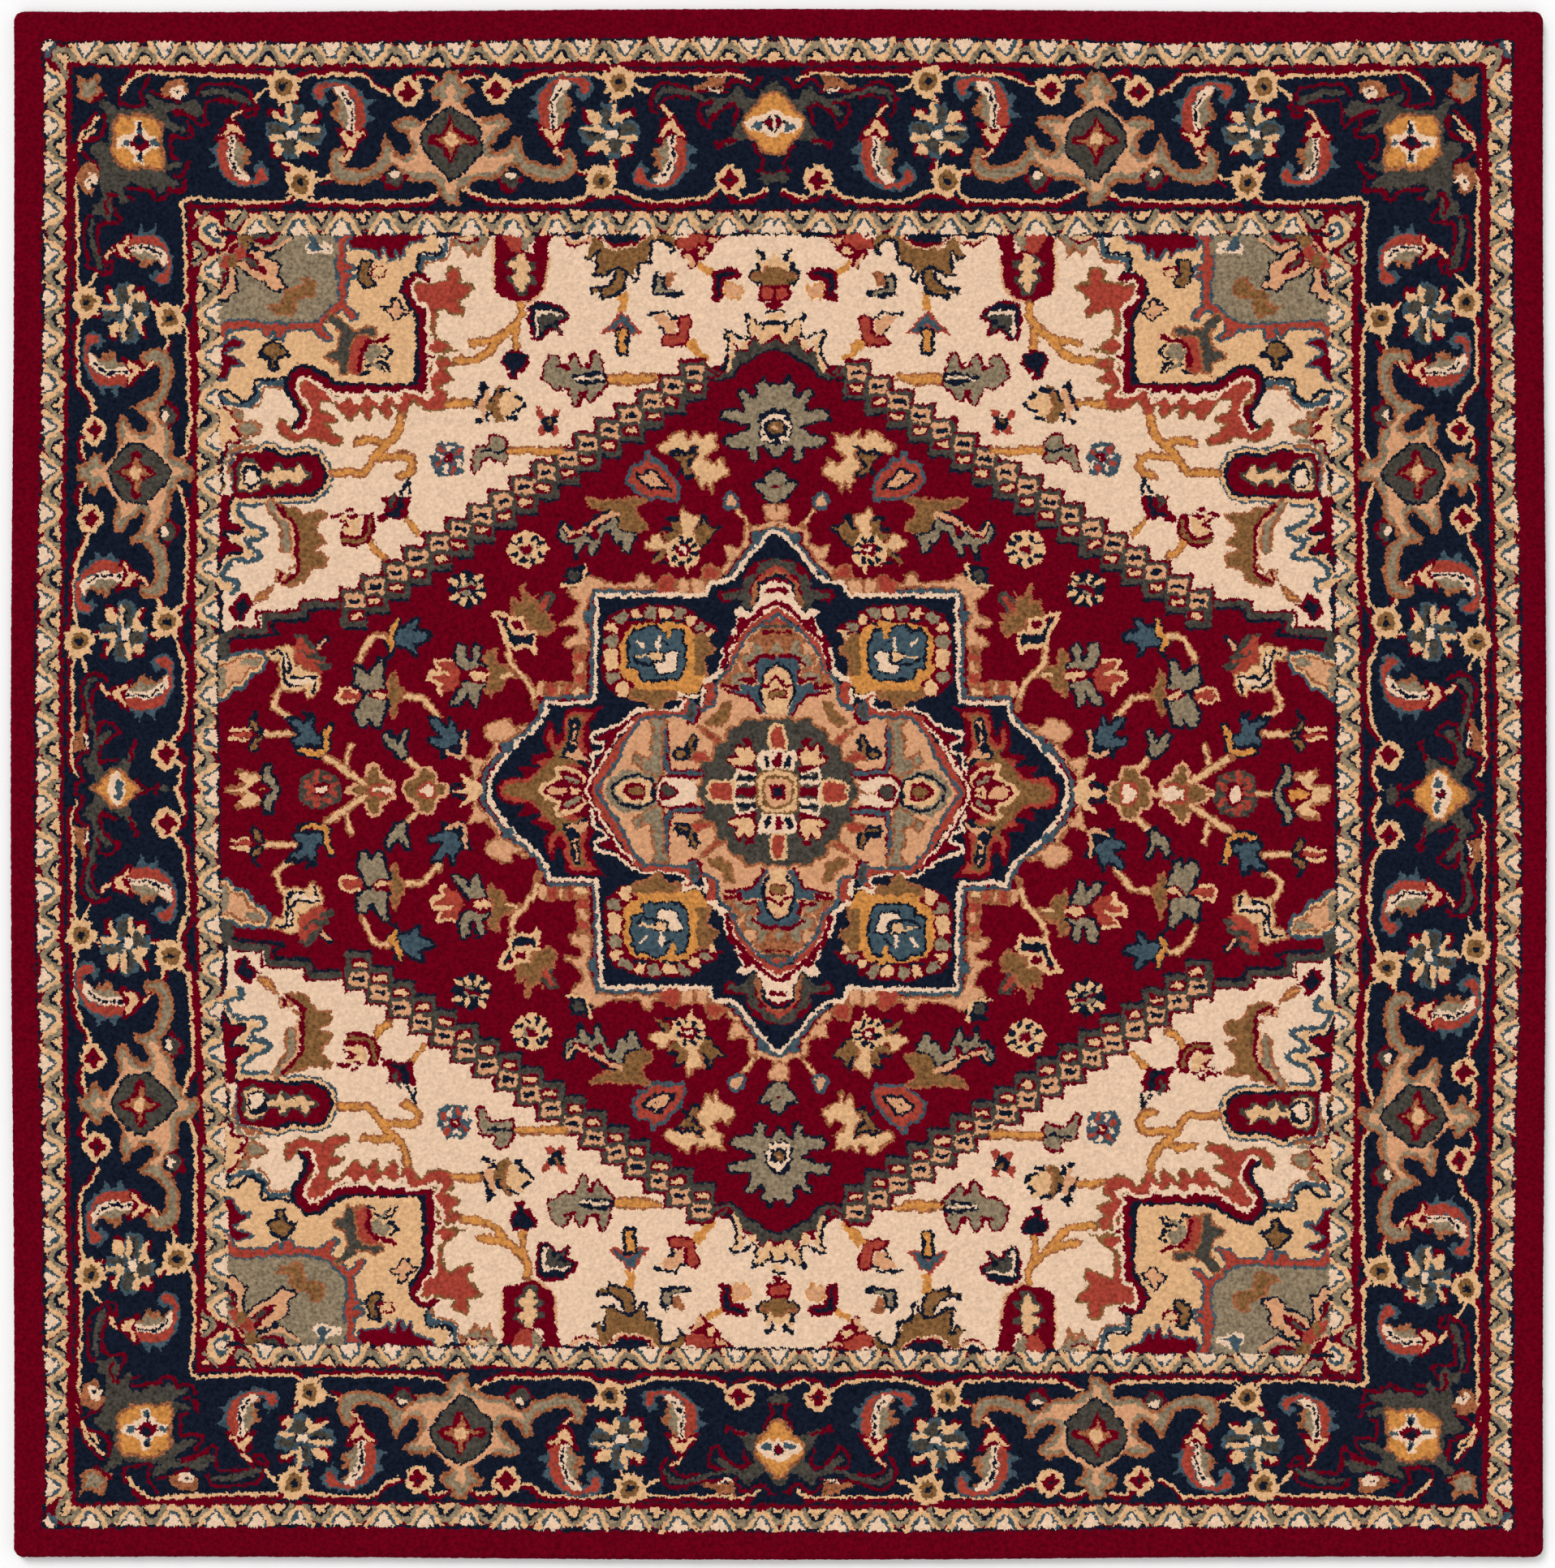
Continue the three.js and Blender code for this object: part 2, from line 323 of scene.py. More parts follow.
CROSS_FLOWER = """
crimson -29,22 -29,31 -12,31 -10,24 -18,20
crimson 12,14 31,30 35,20 28,12
crimson -25,-8 -28,-26 -11,-28
crimson 14,-16 30,-18 32,-26 18,-24
blue -34,2 -31,13 -22,17 -12,14 -9,24 -8,34 -2,37 5,35 12,37 12,26 10,14 22,13 37,10 39,2 35,-10 26,-14
 12,-10 7,-18 7,-28 0,-30 -9,-28 -12,-18 -18,-10 -30,-8
slate -30,3 -27,12 -18,13 -8,10 -6,0 -14,0
slate 1,12 2,27 7,35 10,30 9,18 8,10
slate 8,-3 18,1 35,3 34,-5 22,-8 12,-7
slate -14,-4 -3,-3 3,-8 2,-22 -5,-25 -12,-14
cream -30,-4 -26,0 -17,-1 -8,0 -8,-5 -18,-8 -29,-8
cream -7,36 -2,37 0,26 1,12 -3,10 -7,18
cream 7,6 16,10 35,8 35,4 16,2 9,2
cream -26,21 -25,27 -18,28 -14,23 -4,19 -3,14 -12,15 -19,20
cream 10,13 15,27 28,28 30,20 20,11
cream 3,-8 10,-7 20,-10 31,-21 24,-20 13,-18 6,-27 3,-20
cream -24,-21 -18,-8 -12,-15 -10,-22 -17,-25
navy 3 -9,3 -8,-3
navy 3 -2,9 2,14
navy 3 10,1 26,1
navy 3 2,-9 6,-12
ivory -7,-5 -7,4 0,5 6,6 7,-1 5,-5
"""
PALMETTE = """
tan4.5>sage7>peach 367,838 369,846 379,846 388,843 389,834 396,830 402,824 399,812 391,813 389,805 396,799
 404,792 412,787 418,792 433,792 447,785 444,778 431,771 426,760 427,748 436,746 444,753 450,764 454,773
 458,764 463,749 468,738 477,732 494,729 503,733 502,747 507,758 519,752 524,735 521,720 510,712 494,710
 476,713 464,720 456,726 451,733 443,732 437,725 430,715 416,713 400,715 395,709 394,699 383,688 371,685
 366,688 368,699 364,706 357,709 350,716 331,716 318,721 310,732 300,734 291,722 275,716 257,713 238,717
 229,728 229,746 235,754 246,752 243,743 251,733 270,736 287,742 294,754 292,768 302,769 307,758 318,750
 326,750 330,758 323,764 318,772 307,780 306,788 318,794 334,792 345,789 356,799 363,807 361,814 350,820
 353,828 363,830
peach 350,795 360,801 372,810 378,815 386,808 398,795 412,782 424,778 432,781 426,772 418,762 418,748
 428,736 440,741 447,751 450,744 446,738 430,728 414,724 398,728 385,716 380,700 374,700 372,716 358,722
 345,724 330,726 318,733 305,740 302,750 310,746 320,742 334,742 340,752 336,764 328,776 318,784 336,783
navy3<slate 344,776 352,786 362,793 378,801 393,793 402,785 411,772 411,758 402,745 393,733 378,717
 368,722 355,737 342,750
crimson 346,764 350,769 362,770 371,780 378,794 384,781 390,772 403,769 405,760 389,756 385,745 376,735
 371,748 365,758 350,758
tan 352,763 366,766 373,776 378,788 382,774 390,767 399,766 390,760 382,756 377,741 373,756 362,759
cream 368,762 372,771 380,773 386,767 384,759 375,757
peach 374,764 378,768 382,764
"""
SMALL_FLOWER = """
crimson -18,-2 -13,3 -5,-4 4,-2 16,2 16,-6 11,-8 10,-17 0,-18 -8,-15 -11,-8
slate -13,0 -6,5 8,4 11,-5 6,-8 0,-13 -7,-12 -10,-5
ivory -7,5 -2,7 6,5 4,-1 -1,-3 -5,0
"""
CENTRE_LEAVES = """
slate -10,834 -6,834 6,826 14,812 22,812 29,820 38,828 43,822 48,815 58,813 72,813 85,819 100,824 115,827
 125,826 133,820 137,811 133,807 128,816 120,820 105,819 90,814 74,808 66,806 72,800 76,796 72,790 64,796
 52,808 40,808 28,798 33,790 38,780 46,768 54,761 50,757 38,762 22,766 -6,742
crimson 4 6,838 14,832 12,838 18,826 28,829 36,836 44,834 50,826
crimson 4 50,820 58,822 75,822 92,822 110,830 125,832 135,825 140,812 138,800 133,794
crimson 4 36,800 42,806 52,804 60,798 68,788 72,779 79,783 84,796 82,806 66,808
crimson 3.5 95,814 110,817 122,813 130,803
crimson 4 36,802 40,792 42,783
crimson 4 18,757 12,748 6,738 12,728 -6,722
crimson 5 40,764 52,762 60,755 62,760
slate -6,724 8,726 14,718 6,712 -6,714
ivory 52,822 60,826 74,826 70,821 58,819
tan 48,841 60,838 72,838 78,832 92,827 86,823 72,826 62,825 55,819 53,830
navy 56,826 62,824 72,824 64,827
crimson -4,780 4,790 10,783 8,776 -6,772
tan3.5>gold -30,783 -14,808 -4,822 8,818 14,808 24,797 31,792 31,784 29,772 22,766 14,757 8,748 -6,745
 -14,757
ivory -6,804 -6,800 10,794 22,790 28,783 24,776 12,772 5,774 -6,764 -6,764
navy -4,794 4,788 8,784 2,778 -4,772
crimson -4,788 2,788 5,782 -6,776 -4,777
blue 8,776 7,783 14,785 20,782 20,777 14,775
"""
SIDE_LEAF = """
crimson 4 612,818 620,826 634,830 660,832 674,828 678,818
slate 614,806 616,813 628,820 642,824 660,825 674,822 672,818 658,819 642,816 628,808
crimson 4 630,809 645,812 664,812 669,800 667,785 672,780 688,793 700,797
slate 668,797 674,803 680,812 692,810 706,806 712,797 694,794 682,791
"""
BORDER_CORNER = """
crimson 4 737,840 743,828 749,824 748,814 744,806
crimson 4 742,806 752,804 766,806 775,808 777,816 774,828
crimson 4 735,822 722,818 700,810
crimson 4 804,798 812,790 821,779 828,766 831,745 832,725 838,700
crimson 5 795,793 794,784 797,772 806,766 820,761
crimson 4 828,752 816,742 806,738 804,728
crimson 6 680,790 692,795 707,799
crimson 4 692,786 686,778 683,768 694,767 707,770 711,762 709,744 703,742
crimson 4 690,739 692,726 700,721 707,722
crimson 5 694,716 695,704 706,704 714,706 717,699 726,693
crimson 5 731,695 734,702 748,705 766,706
crimson 4 760,694 766,696 778,697 790,700 794,690 790,678
slate 680,797 680,813 700,806 712,806 726,813 742,820 743,815 732,803 760,801 780,801 790,811 800,814
 802,808 793,796 789,785 790,761 800,763 808,760 813,754 810,746 802,740 802,725 799,702 785,705 780,699
 777,692 770,687 766,692 772,705 768,712 758,713 745,706 735,706 730,709 725,701 716,708 700,709 703,715
 716,721 718,726 702,731 697,734 700,738 714,736 719,750 719,770 717,780 706,774 690,774 690,777 706,785
 714,791 716,798 708,802 690,800
slate 802,692 807,690 808,681 813,675 799,675 799,683
tan4>gold 720,727 740,729 765,728 776,735 788,745 785,765 786,783 777,796 765,794 752,798 735,796 727,787
 718,782 721,765 718,745
ivory 725,757 728,768 740,771 746,780 746,788 756,788 756,778 763,771 779,767 779,755 766,754 758,746
 757,736 745,736 745,745 738,753
crimson 737,756 738,764 746,770 756,769 763,762 761,756 750,752
navy 743,761 745,768 755,768 758,762 752,757
blue 724,758 727,764 736,764 736,758
blue 763,757 763,763 772,764 774,757
blue 747,770 746,781 752,782 753,771
blue 746,738 747,748 754,747 753,738
navy 4 749,776 749,784
navy 4 749,742 750,750
tan5>sage 802,846 812,838 822,838 830,844 829,832 827,822 830,816 822,812 812,809 805,815 792,817 796,825
 801,830 800,840
crimson 4 794,822 802,814 812,808
cream 4 803,792 812,781 820,775 826,765
cream 3 827,758 826,752
tan 800,722 806,735 815,738 828,732 830,720 827,710 822,702 812,699 806,703 810,712
ivory 803,713 805,722 811,725 817,720 821,712 816,704 811,706 813,712
navy 811,714 814,718 818,713
tan 688,832 694,837 710,836 722,828 723,817 712,816 690,820
ivory 692,819 694,828 706,829 713,822 710,815 700,814
navy 697,820 702,825 708,823
"""


def draw_border_side(side):
    """One side of the main border, from the middle of the rug to the corner."""
    paint(VINES, side)
    paint(CENTRE_LEAVES, side)
    paint(SIDE_LEAF, side)
    paint(PALMETTE, side)
    for x, y, figure in [
        (177, 832, RING_FLOWER), (200, 715, RING_FLOWER), (575, 827, RING_FLOWER), (556, 713, RING_FLOWER),
        (47, 717, DIAMOND_FLOWER), (323, 824, DIAMOND_FLOWER), (428, 822, DIAMOND_FLOWER),
        (308, 720, SMALL_FLOWER), (446, 722, SMALL_FLOWER), (187, 771, CROSS_FLOWER),
    ]:
        paint(figure, placed(x, y, then=side))
    paint(CROSS_FLOWER, placed(565, 771, -1, then=side))
    paint(BOTEH, placed(113, 771, then=side))
    paint(BOTEH, placed(258, 776, -1, -1, then=side))
    paint(BOTEH, placed(493, 772, 1, -1, scale=0.97, then=side))
    paint(BOTEH, placed(640, 770, -1, scale=0.93, then=side))


def draw_border():
    draw_border_side(to_right_side)
    draw_border_side(lambda points: points)
    paint(BORDER_CORNER)

# ---------------------------------------------------------------- spandrel: the ivory corner
TOP_SPRIGS = """
crimson 50,651 63,642 68,639 69,631 77,625 86,622 86,616 94,610 98,615 96,621 102,624 107,628 105,633
 111,635 113,645 108,652
rust 77,650 95,653 110,646 111,636 99,633 91,634 86,641 78,641
peach 59,651 66,648 75,649 75,643 69,641 62,645
ivory 94,654 104,651 118,652 113,648 104,648 97,650
cream 74,632 78,638 84,637 87,631 83,627 77,628
peach 90,618 91,613 95,613 97,617 97,621 103,628 98,629 93,624
gold 66,610 79,616 83,621 87,619 85,610 74,604 68,602
crimson5>navy 34,605 39,613 57,613 64,610 69,608 70,596 71,590 69,583 72,574 62,572 55,578 56,588 53,597
 40,599
gold2>peach 33,592 45,595 53,596 55,588 55,579 50,574 44,577 40,574 35,580 32,587
navy 104,585 116,586 125,589 126,602 133,603 132,608 138,605 141,600 141,579 120,578 108,577 104,580
sage 129,599 136,601 137,584 112,581 118,586 129,588
tan 110,606 117,609 126,605 125,590 118,590 115,599
crimson3>rust 93,553 98,558 109,555 112,551 112,540 113,534 124,534 129,531 132,521 120,519 102,520 98,530
 94,544
peach 113,551 128,558 141,555 133,544 126,537 121,535 114,533
navy 3 118,557 121,561 128,560
navy 4 131,559 140,559 147,557
navy 4 111,552 117,553
navy 3 126,534 128,541 132,543
gold 73,500 76,509 84,513 85,521 93,529 102,525 103,519 94,512 91,507 79,503
olive 112,640 115,650 125,653 140,655 146,652 152,645 160,639 170,635 190,634 197,638 203,647 210,649
 214,642 216,633 220,626 218,621 213,622 210,628 206,633 204,626 206,612 208,605 200,601 196,603 190,610
 183,611 185,606 184,600 190,593 198,588 213,589 214,583 205,584 202,575 193,579 183,581 175,588 173,597
 173,610 168,606 163,605 160,612 155,618 146,620 146,628 142,632 141,645 135,648 124,645 117,640 118,635
navy 4 113,637 119,630
navy 4 119,639 124,643 134,647 139,645 141,640 141,632 143,628 142,619 157,617 158,609 158,599 162,597
 165,603 170,608 174,612 183,612 190,609 197,603 206,603 210,603
navy 4 185,606 185,600 192,593 200,588 214,590 214,583
navy 4 171,608 171,597 174,588 183,580 194,579 200,575 203,584
navy 4 204,632 206,620 206,609
navy 3 207,632 212,622 220,627
navy 152,651 159,641 170,642 188,641 197,648 200,655 160,655
crimson 4 146,652 153,645 160,641 172,640 188,639 196,644 201,648
peach 2.5 145,651 152,643 161,637 176,637 190,636 194,641 198,647
crimson 4 213,649 218,642 232,638 241,643 246,652
navy 220,652 228,646 236,646 242,652
peach 2.5 212,649 217,644 226,642 238,643 244,648 249,651
gold 171,585 175,583 181,580 180,570 182,561 171,562 171,575
rust3>blue 168,556 175,559 178,563 182,558 186,551 196,543 204,534 190,535 182,539 178,543 173,538 165,532
 151,535 160,543 165,550
navy4<gold 172,538 181,538 181,522 182,515 178,511 172,513 173,522 173,530
crimson 257,651 262,640 265,628 266,608 269,588 277,579 285,574 300,573 312,577 325,581 329,590 327,605
 328,648 316,652 293,655
sage 279,652 290,653 294,648 293,633 289,635 283,642 279,646
ivory 265,646 277,646 280,640 280,634 283,630 290,632 288,636 282,642 279,646
rust 294,652 305,653 317,651 316,645 310,637 308,630 297,631 293,637
slate 291,629 290,622 288,619 278,620 278,612 285,610 287,606 279,601 279,594 285,593 287,590 286,582
 293,579 300,580 304,586 305,592 312,596 313,603 306,606 307,611 315,613 316,618 308,624 303,629
cream 292,631 291,623 288,617 285,611 290,607 288,601 285,597 290,594 291,586 297,583 300,588 300,593
 307,598 309,602 301,606 302,611 308,611 313,616 308,621 301,619 302,628
peach 3 263,625 265,605 268,588 276,579 286,573 300,571
cream 3 329,645 329,588
crimson3<navy 244,559 251,566 262,570 278,571 286,566 285,545 282,530 275,530 268,536 266,541 258,540
 250,534 253,542 254,548 241,553
ivory 244,557 255,561 270,562 280,563 280,531 274,535 277,545 276,555 266,558 255,557
slate 242,554 255,556 268,559 277,555 276,546 272,536 268,539 268,545 262,545 255,537 251,535 255,543
 262,548 258,552 250,551
tan 10 298,570 296,556 304,543 303,514
tan 11 300,550 316,534 332,526 345,525 355,523
tan 11 320,533 335,512 348,504 374,502
gold 6 298,568 296,556 304,543 303,516
gold 7 302,546 316,534 332,526 345,525 354,523
gold 7 322,530 335,512 348,504 372,502
crimson4<navy 292,507 300,511 312,510 317,503 314,496 307,491 297,493 291,500
"""
CORNER_PIECE = """
tan 3 378,641 380,629 385,622 400,619 411,618 412,608
cream 391,640 396,650 401,652 520,654 655,654 658,470 640,440 560,425 480,430 440,440 428,470 420,500
 418,540 424,560 430,575 436,590 430,600 420,610 419,628 410,632 395,631
blue 6 384,647 385,632 390,625 402,624 414,624 415,612
navy 3.5 391,640 388,632 396,629 412,630 418,626 419,612 415,606 404,599
tan 330,650 338,640 341,632 341,622 347,628 354,631 360,623 364,631 368,638 375,638 381,634 379,645 372,651
sage 331,652 345,652 375,646 370,638 364,637 358,632 352,640 346,632 343,640 335,645
tan 4 350,638 356,632
crimson 3 346,648 352,643 364,643 375,649
cream 350,648 360,651 373,649 366,645 354,645
blue3<crimson 408,652 412,646 425,643 434,638 438,624 440,628 444,636 448,622 452,622 455,635 462,636
 464,624 468,632 478,636 496,636 500,652
navy4<olive 474,619 484,619 488,608 487,598 480,592 472,592 474,599 480,606 478,612
olive 3 476,616 479,609
crimson2>cream 455,612 457,602 468,600 475,603 474,612 466,615
navy3<peach 446,576 450,572 449,567 456,566 459,563 449,558 445,552 440,553 438,557 431,560 438,563
 442,567 441,571
navy 15 412,600 422,600 430,595 432,585 424,571 417,558 415,545 416,530 415,512 416,490
crimson 9 408,600 420,601 429,597 432,586 424,573 415,560 413,545 414,530 412,516 413,490
olive3<rust 370,611 380,611 385,606 382,596 395,593 422,592 422,580 416,572 409,569 405,560 403,545
 402,537 397,528 392,526 382,518 392,514 400,513 407,516 398,530 401,540 399,560 395,566 388,565 378,560
 366,556 365,563 371,568 371,574 362,582 354,590 362,592 370,594 370,602
ivory 4 411,595 420,598 426,591 424,580 418,571 411,570 407,562 407,546 410,539 406,532 400,528 404,523
 409,520 408,514 402,511
olive 3 371,514 380,515 390,511
olive2<rust 375,498 385,505 395,505 405,500 402,493 395,489 385,494
ivory 4 394,506 403,504 409,498 404,491
crimson 4 401,507 412,506
sage 512,652 655,652 655,546 540,546 512,570
blue3<rust 497,650 513,650 512,640 514,625 516,610 512,600 512,580 513,570 520,566 530,556 538,548 560,545
 590,546 620,548 645,549 654,542 653,524 650,527 646,537 640,541 605,541 600,534 595,531 592,541 588,540
 588,530 580,528 577,540 545,540 535,531 524,527 521,529 528,535 531,541 529,549 520,556 513,563 506,562
 498,552 492,552 494,558 503,566 505,574 503,600 493,602 503,606 505,610 495,611 495,615 505,618 505,640
tan3>olive 541,598 550,603 559,601 556,595 562,590 568,588 576,587 581,578 581,570 590,568 599,568 590,558
 580,555 570,553 565,558 562,570 562,575 552,576 540,579 538,590
ivory 519,640 533,643 540,645 548,641 552,635 550,628 519,630
blue 521,636 530,635 536,640 541,650 546,650 546,642 548,635 540,631 532,633
sage 512,640 519,640 519,628 512,628
navy 4 568,650 574,643 582,636 592,629 598,631
crimson 582,652 590,642 600,640 616,645 618,652
slate 592,652 597,646 612,647 618,652
peach 5 571,646 581,641 590,634 600,636 612,640
navy3<peach 574,590 580,597 584,603 583,615 590,620 598,624 603,632 612,635 619,633 614,628 609,622
 600,614 597,606 605,607 615,612 622,619 633,620 628,613 620,606 610,602 600,598 596,590 590,586 580,589
crimson 596,606 603,615 610,622 616,630 624,632 621,622 626,620 616,611 606,607
slate 606,612 612,620 620,626 620,618 613,612
olive 613,652 631,652 631,641 624,636 614,642
navy 4 610,634 618,642
navy3<peach 636,612 644,612 642,598 645,590 652,585 655,578 650,573 645,575 640,583 632,585 635,595
rust 620,634 630,640 639,630 648,625 654,612 645,611 640,616 632,620 624,625
olive 633,627 640,630 645,620 640,612 632,615
crimson 632,640 640,630 652,632 655,625 655,650 632,652
peach 3 634,644 640,638 650,628
crimson 4 644,610 649,602 648,594 656,590
slate 4 650,608 654,600 656,594
navy 3 655,570 656,590
tan3<slate 470,540 480,542 490,537 500,540 508,549 515,554 524,556 526,552 518,543 510,535 512,525 515,515
 525,512 529,506 520,503 513,500 512,488 503,488 503,510 498,525 495,533 470,533
cream 4 490,548 500,545 512,556
cream 516,540 520,546 526,549 530,545 527,540 522,535
navy4<olive 577,511 583,520 590,524 598,520 604,511 597,508 592,505 594,494 588,494 588,505 583,509
navy 4 571,508 582,506 588,500 585,494
navy 4 608,507 598,504 594,495
blue3<crimson 626,523 640,529 648,525 656,515 656,480 650,480 645,490 640,498 626,497 640,506 650,511
 642,518
"""
CORNER_SCROLL = """
ivory 390,470 470,466 520,470 545,480 566,468 572,474 608,474 613,452 640,448 655,440 656,395 390,395
blue 6 575,474 590,475 605,476 610,470 610,462 616,453 625,449 637,450 645,452 652,460
navy 4 572,480 580,481 600,480 612,481 614,472 612,462 622,455 630,453 636,460 643,466 655,464
tan 3 578,470 603,470 606,462 607,452 618,446
navy 13 418,500 418,482 424,470 445,470 470,470 505,470 518,473 530,480 546,491 560,492 571,482 573,470
 566,458 559,448 556,438 559,428 566,424
crimson 9 413,505 413,470 425,468 445,469 470,469 505,468 520,470 532,478 547,488 559,489 568,481 569,470
 562,458 555,448 553,438 556,428 563,422
olive2.5<rust 394,505 404,492 405,478 407,468 402,462 412,460 425,466 440,466 444,452 453,460 462,452
 467,450 478,460 486,456 491,452 500,458 508,455 518,458 530,468 545,478 556,480 562,470 560,458 552,450
 548,440 550,430 556,420 565,416 572,418 578,430 584,433 586,425 582,415 575,410 563,408 555,411 540,413
 535,408 525,405 511,404 510,409 520,415 528,422 533,429 522,430 517,431 525,437 535,441 538,448 537,455
 530,457 520,455 515,449 508,440 503,434 498,434 495,441 488,446 482,438 478,434 475,440 478,450 470,448
 462,440 456,435 453,440 455,450 448,452 441,438 437,437 432,450 425,458 418,450 410,444 400,445 389,447
 387,455 388,463 395,468 398,473 385,477 379,480 385,486 392,492
ivory 4 400,503 399,492 406,483 409,475 405,468 401,461 412,459 424,466 440,467 443,453 450,457 456,464
 463,464 466,452 474,458 480,466 488,458 490,452 498,457 506,463 510,455 518,457 525,464 535,472 548,480
 556,483 563,477 564,468 557,460 551,452 548,444 550,435 554,425 560,418 567,420
"""
CORNER_FLOWER = """
tan3<rust 478,531 492,531 498,520 501,505 502,492 492,488 486,494 488,505 486,520 478,524
crimson 6 455,531 466,526 478,524 485,517 487,505 488,494
navy 4 452,512 458,506 466,508
navy 4 452,514 460,520
sage 459,512 468,522 478,520 484,512 482,502 476,498 472,506 464,508
navy 4 454,490 458,498 464,501 472,499 480,496
navy 4 460,489 464,495
sage 5 466,494 474,500
navy 5 480,489 487,488
"""
SIDE_OF_CORNER = """
cream 630,432 648,450 656,452 656,395 650,408 634,408 638,416 646,424 638,429
crimson 4 650,448 640,436 632,428
crimson 630,426 646,425 641,418 636,414 632,409 628,418
tan4<sage 609,424 620,428 629,428 632,420 626,413 620,417 612,418
tan3<sage 629,440 640,444 637,435 630,434
sage 5 618,406 630,407 640,402 648,394 651,380
crimson 4 632,406 649,406 650,392
tan 6 606,399 630,400 642,392 645,375 642,358
blue3<cream4>navy4>crimson 524,365 528,380 535,392 548,398 565,396 580,396 592,402 604,404 612,396 630,394
 640,390 641,370 640,345 636,336 620,334 600,335 580,336 560,336 545,337 535,343 528,352
crimson 604,396 612,394 636,392 642,380 641,348 648,338 656,330 656,322 640,336 620,340 600,342
slate 547,370 555,372 558,380 565,381 567,374 580,373 583,381 590,381 594,372 605,372 612,384 625,388
 633,384 637,370 636,350 625,344 610,348 603,358 595,356 590,349 583,352 580,358 572,356 567,351 560,356
 556,360 549,362
cream 551,366 558,370 561,378 565,378 568,369 582,371 586,377 591,377 593,368 605,370 612,381 625,384
 632,380 633,352 620,347 612,350 606,362 596,363 590,352 586,360 575,362 569,356 562,360
navy 606,372 614,379 624,380 630,372 629,356 620,350 612,354 605,361
ivory 609,364 616,372 624,375 626,367 627,357 620,354 613,356
ivory 644,360 648,363 648,353 656,343 656,337 648,346 643,350
olive 650,358 656,352 656,342 651,350
"""
FIELD_EDGE = """
crimson -6,535 14,527 28,520 46,512 60,498 70,496 88,490 250,383 380,296 495,220 522,213 557,213 560,201
 606,199 608,183 642,181 660,171 660,-15 -6,-15
crimson 4 514,234 517,218 562,218 563,205 614,204 614,186 642,186 654,178
slate 8 520,213 557,213 560,200 606,199 606,182 640,181 652,178 660,170
navy 4.5 522,208 551,208 555,195 596,194 598,186 588,178 612,175 640,174 650,170
"""
CHAIN_LINK_EDGE = """
navy -16,-34 14,-34 14,-8 -16,-8
crimson -13,-14 19,-14 19,15 -12,15
slate -15,-31 16,-31 16,-8 -15,-8
slate -17,-12 16,-12 16,12.5 -14,12.5
"""
CHAIN_LINK = """
peach -12,7 -10,9 2,8 9,9 11,5 10,-5 11,-8 2,-7 -9,-9 -12,-7 -10,0
navy -8,-1 -5,3 0,2 4,4 8,1 7,-3 0,-3 -5,-4
crimson -11,-24 9,-24 9,-12 -11,-12
cream -8,-15 -3,-14 2,-16 6,-15 6,-20 1,-22 -4,-20 -8,-19
"""


def draw_chain():
    """The chain of lozenges that steps down between the ivory corner and the crimson field."""
    steps = [(92 + 25.4 * link, 488 - 16.9 * link) for link in range(17)]
    for x, y in steps:
        paint(CHAIN_LINK_EDGE, placed(x, y))
    for link, (x, y) in enumerate(steps):
        paint(CHAIN_LINK, placed(x, y, (-1) ** link, 1, 6 * math.sin(link * 1.9)))


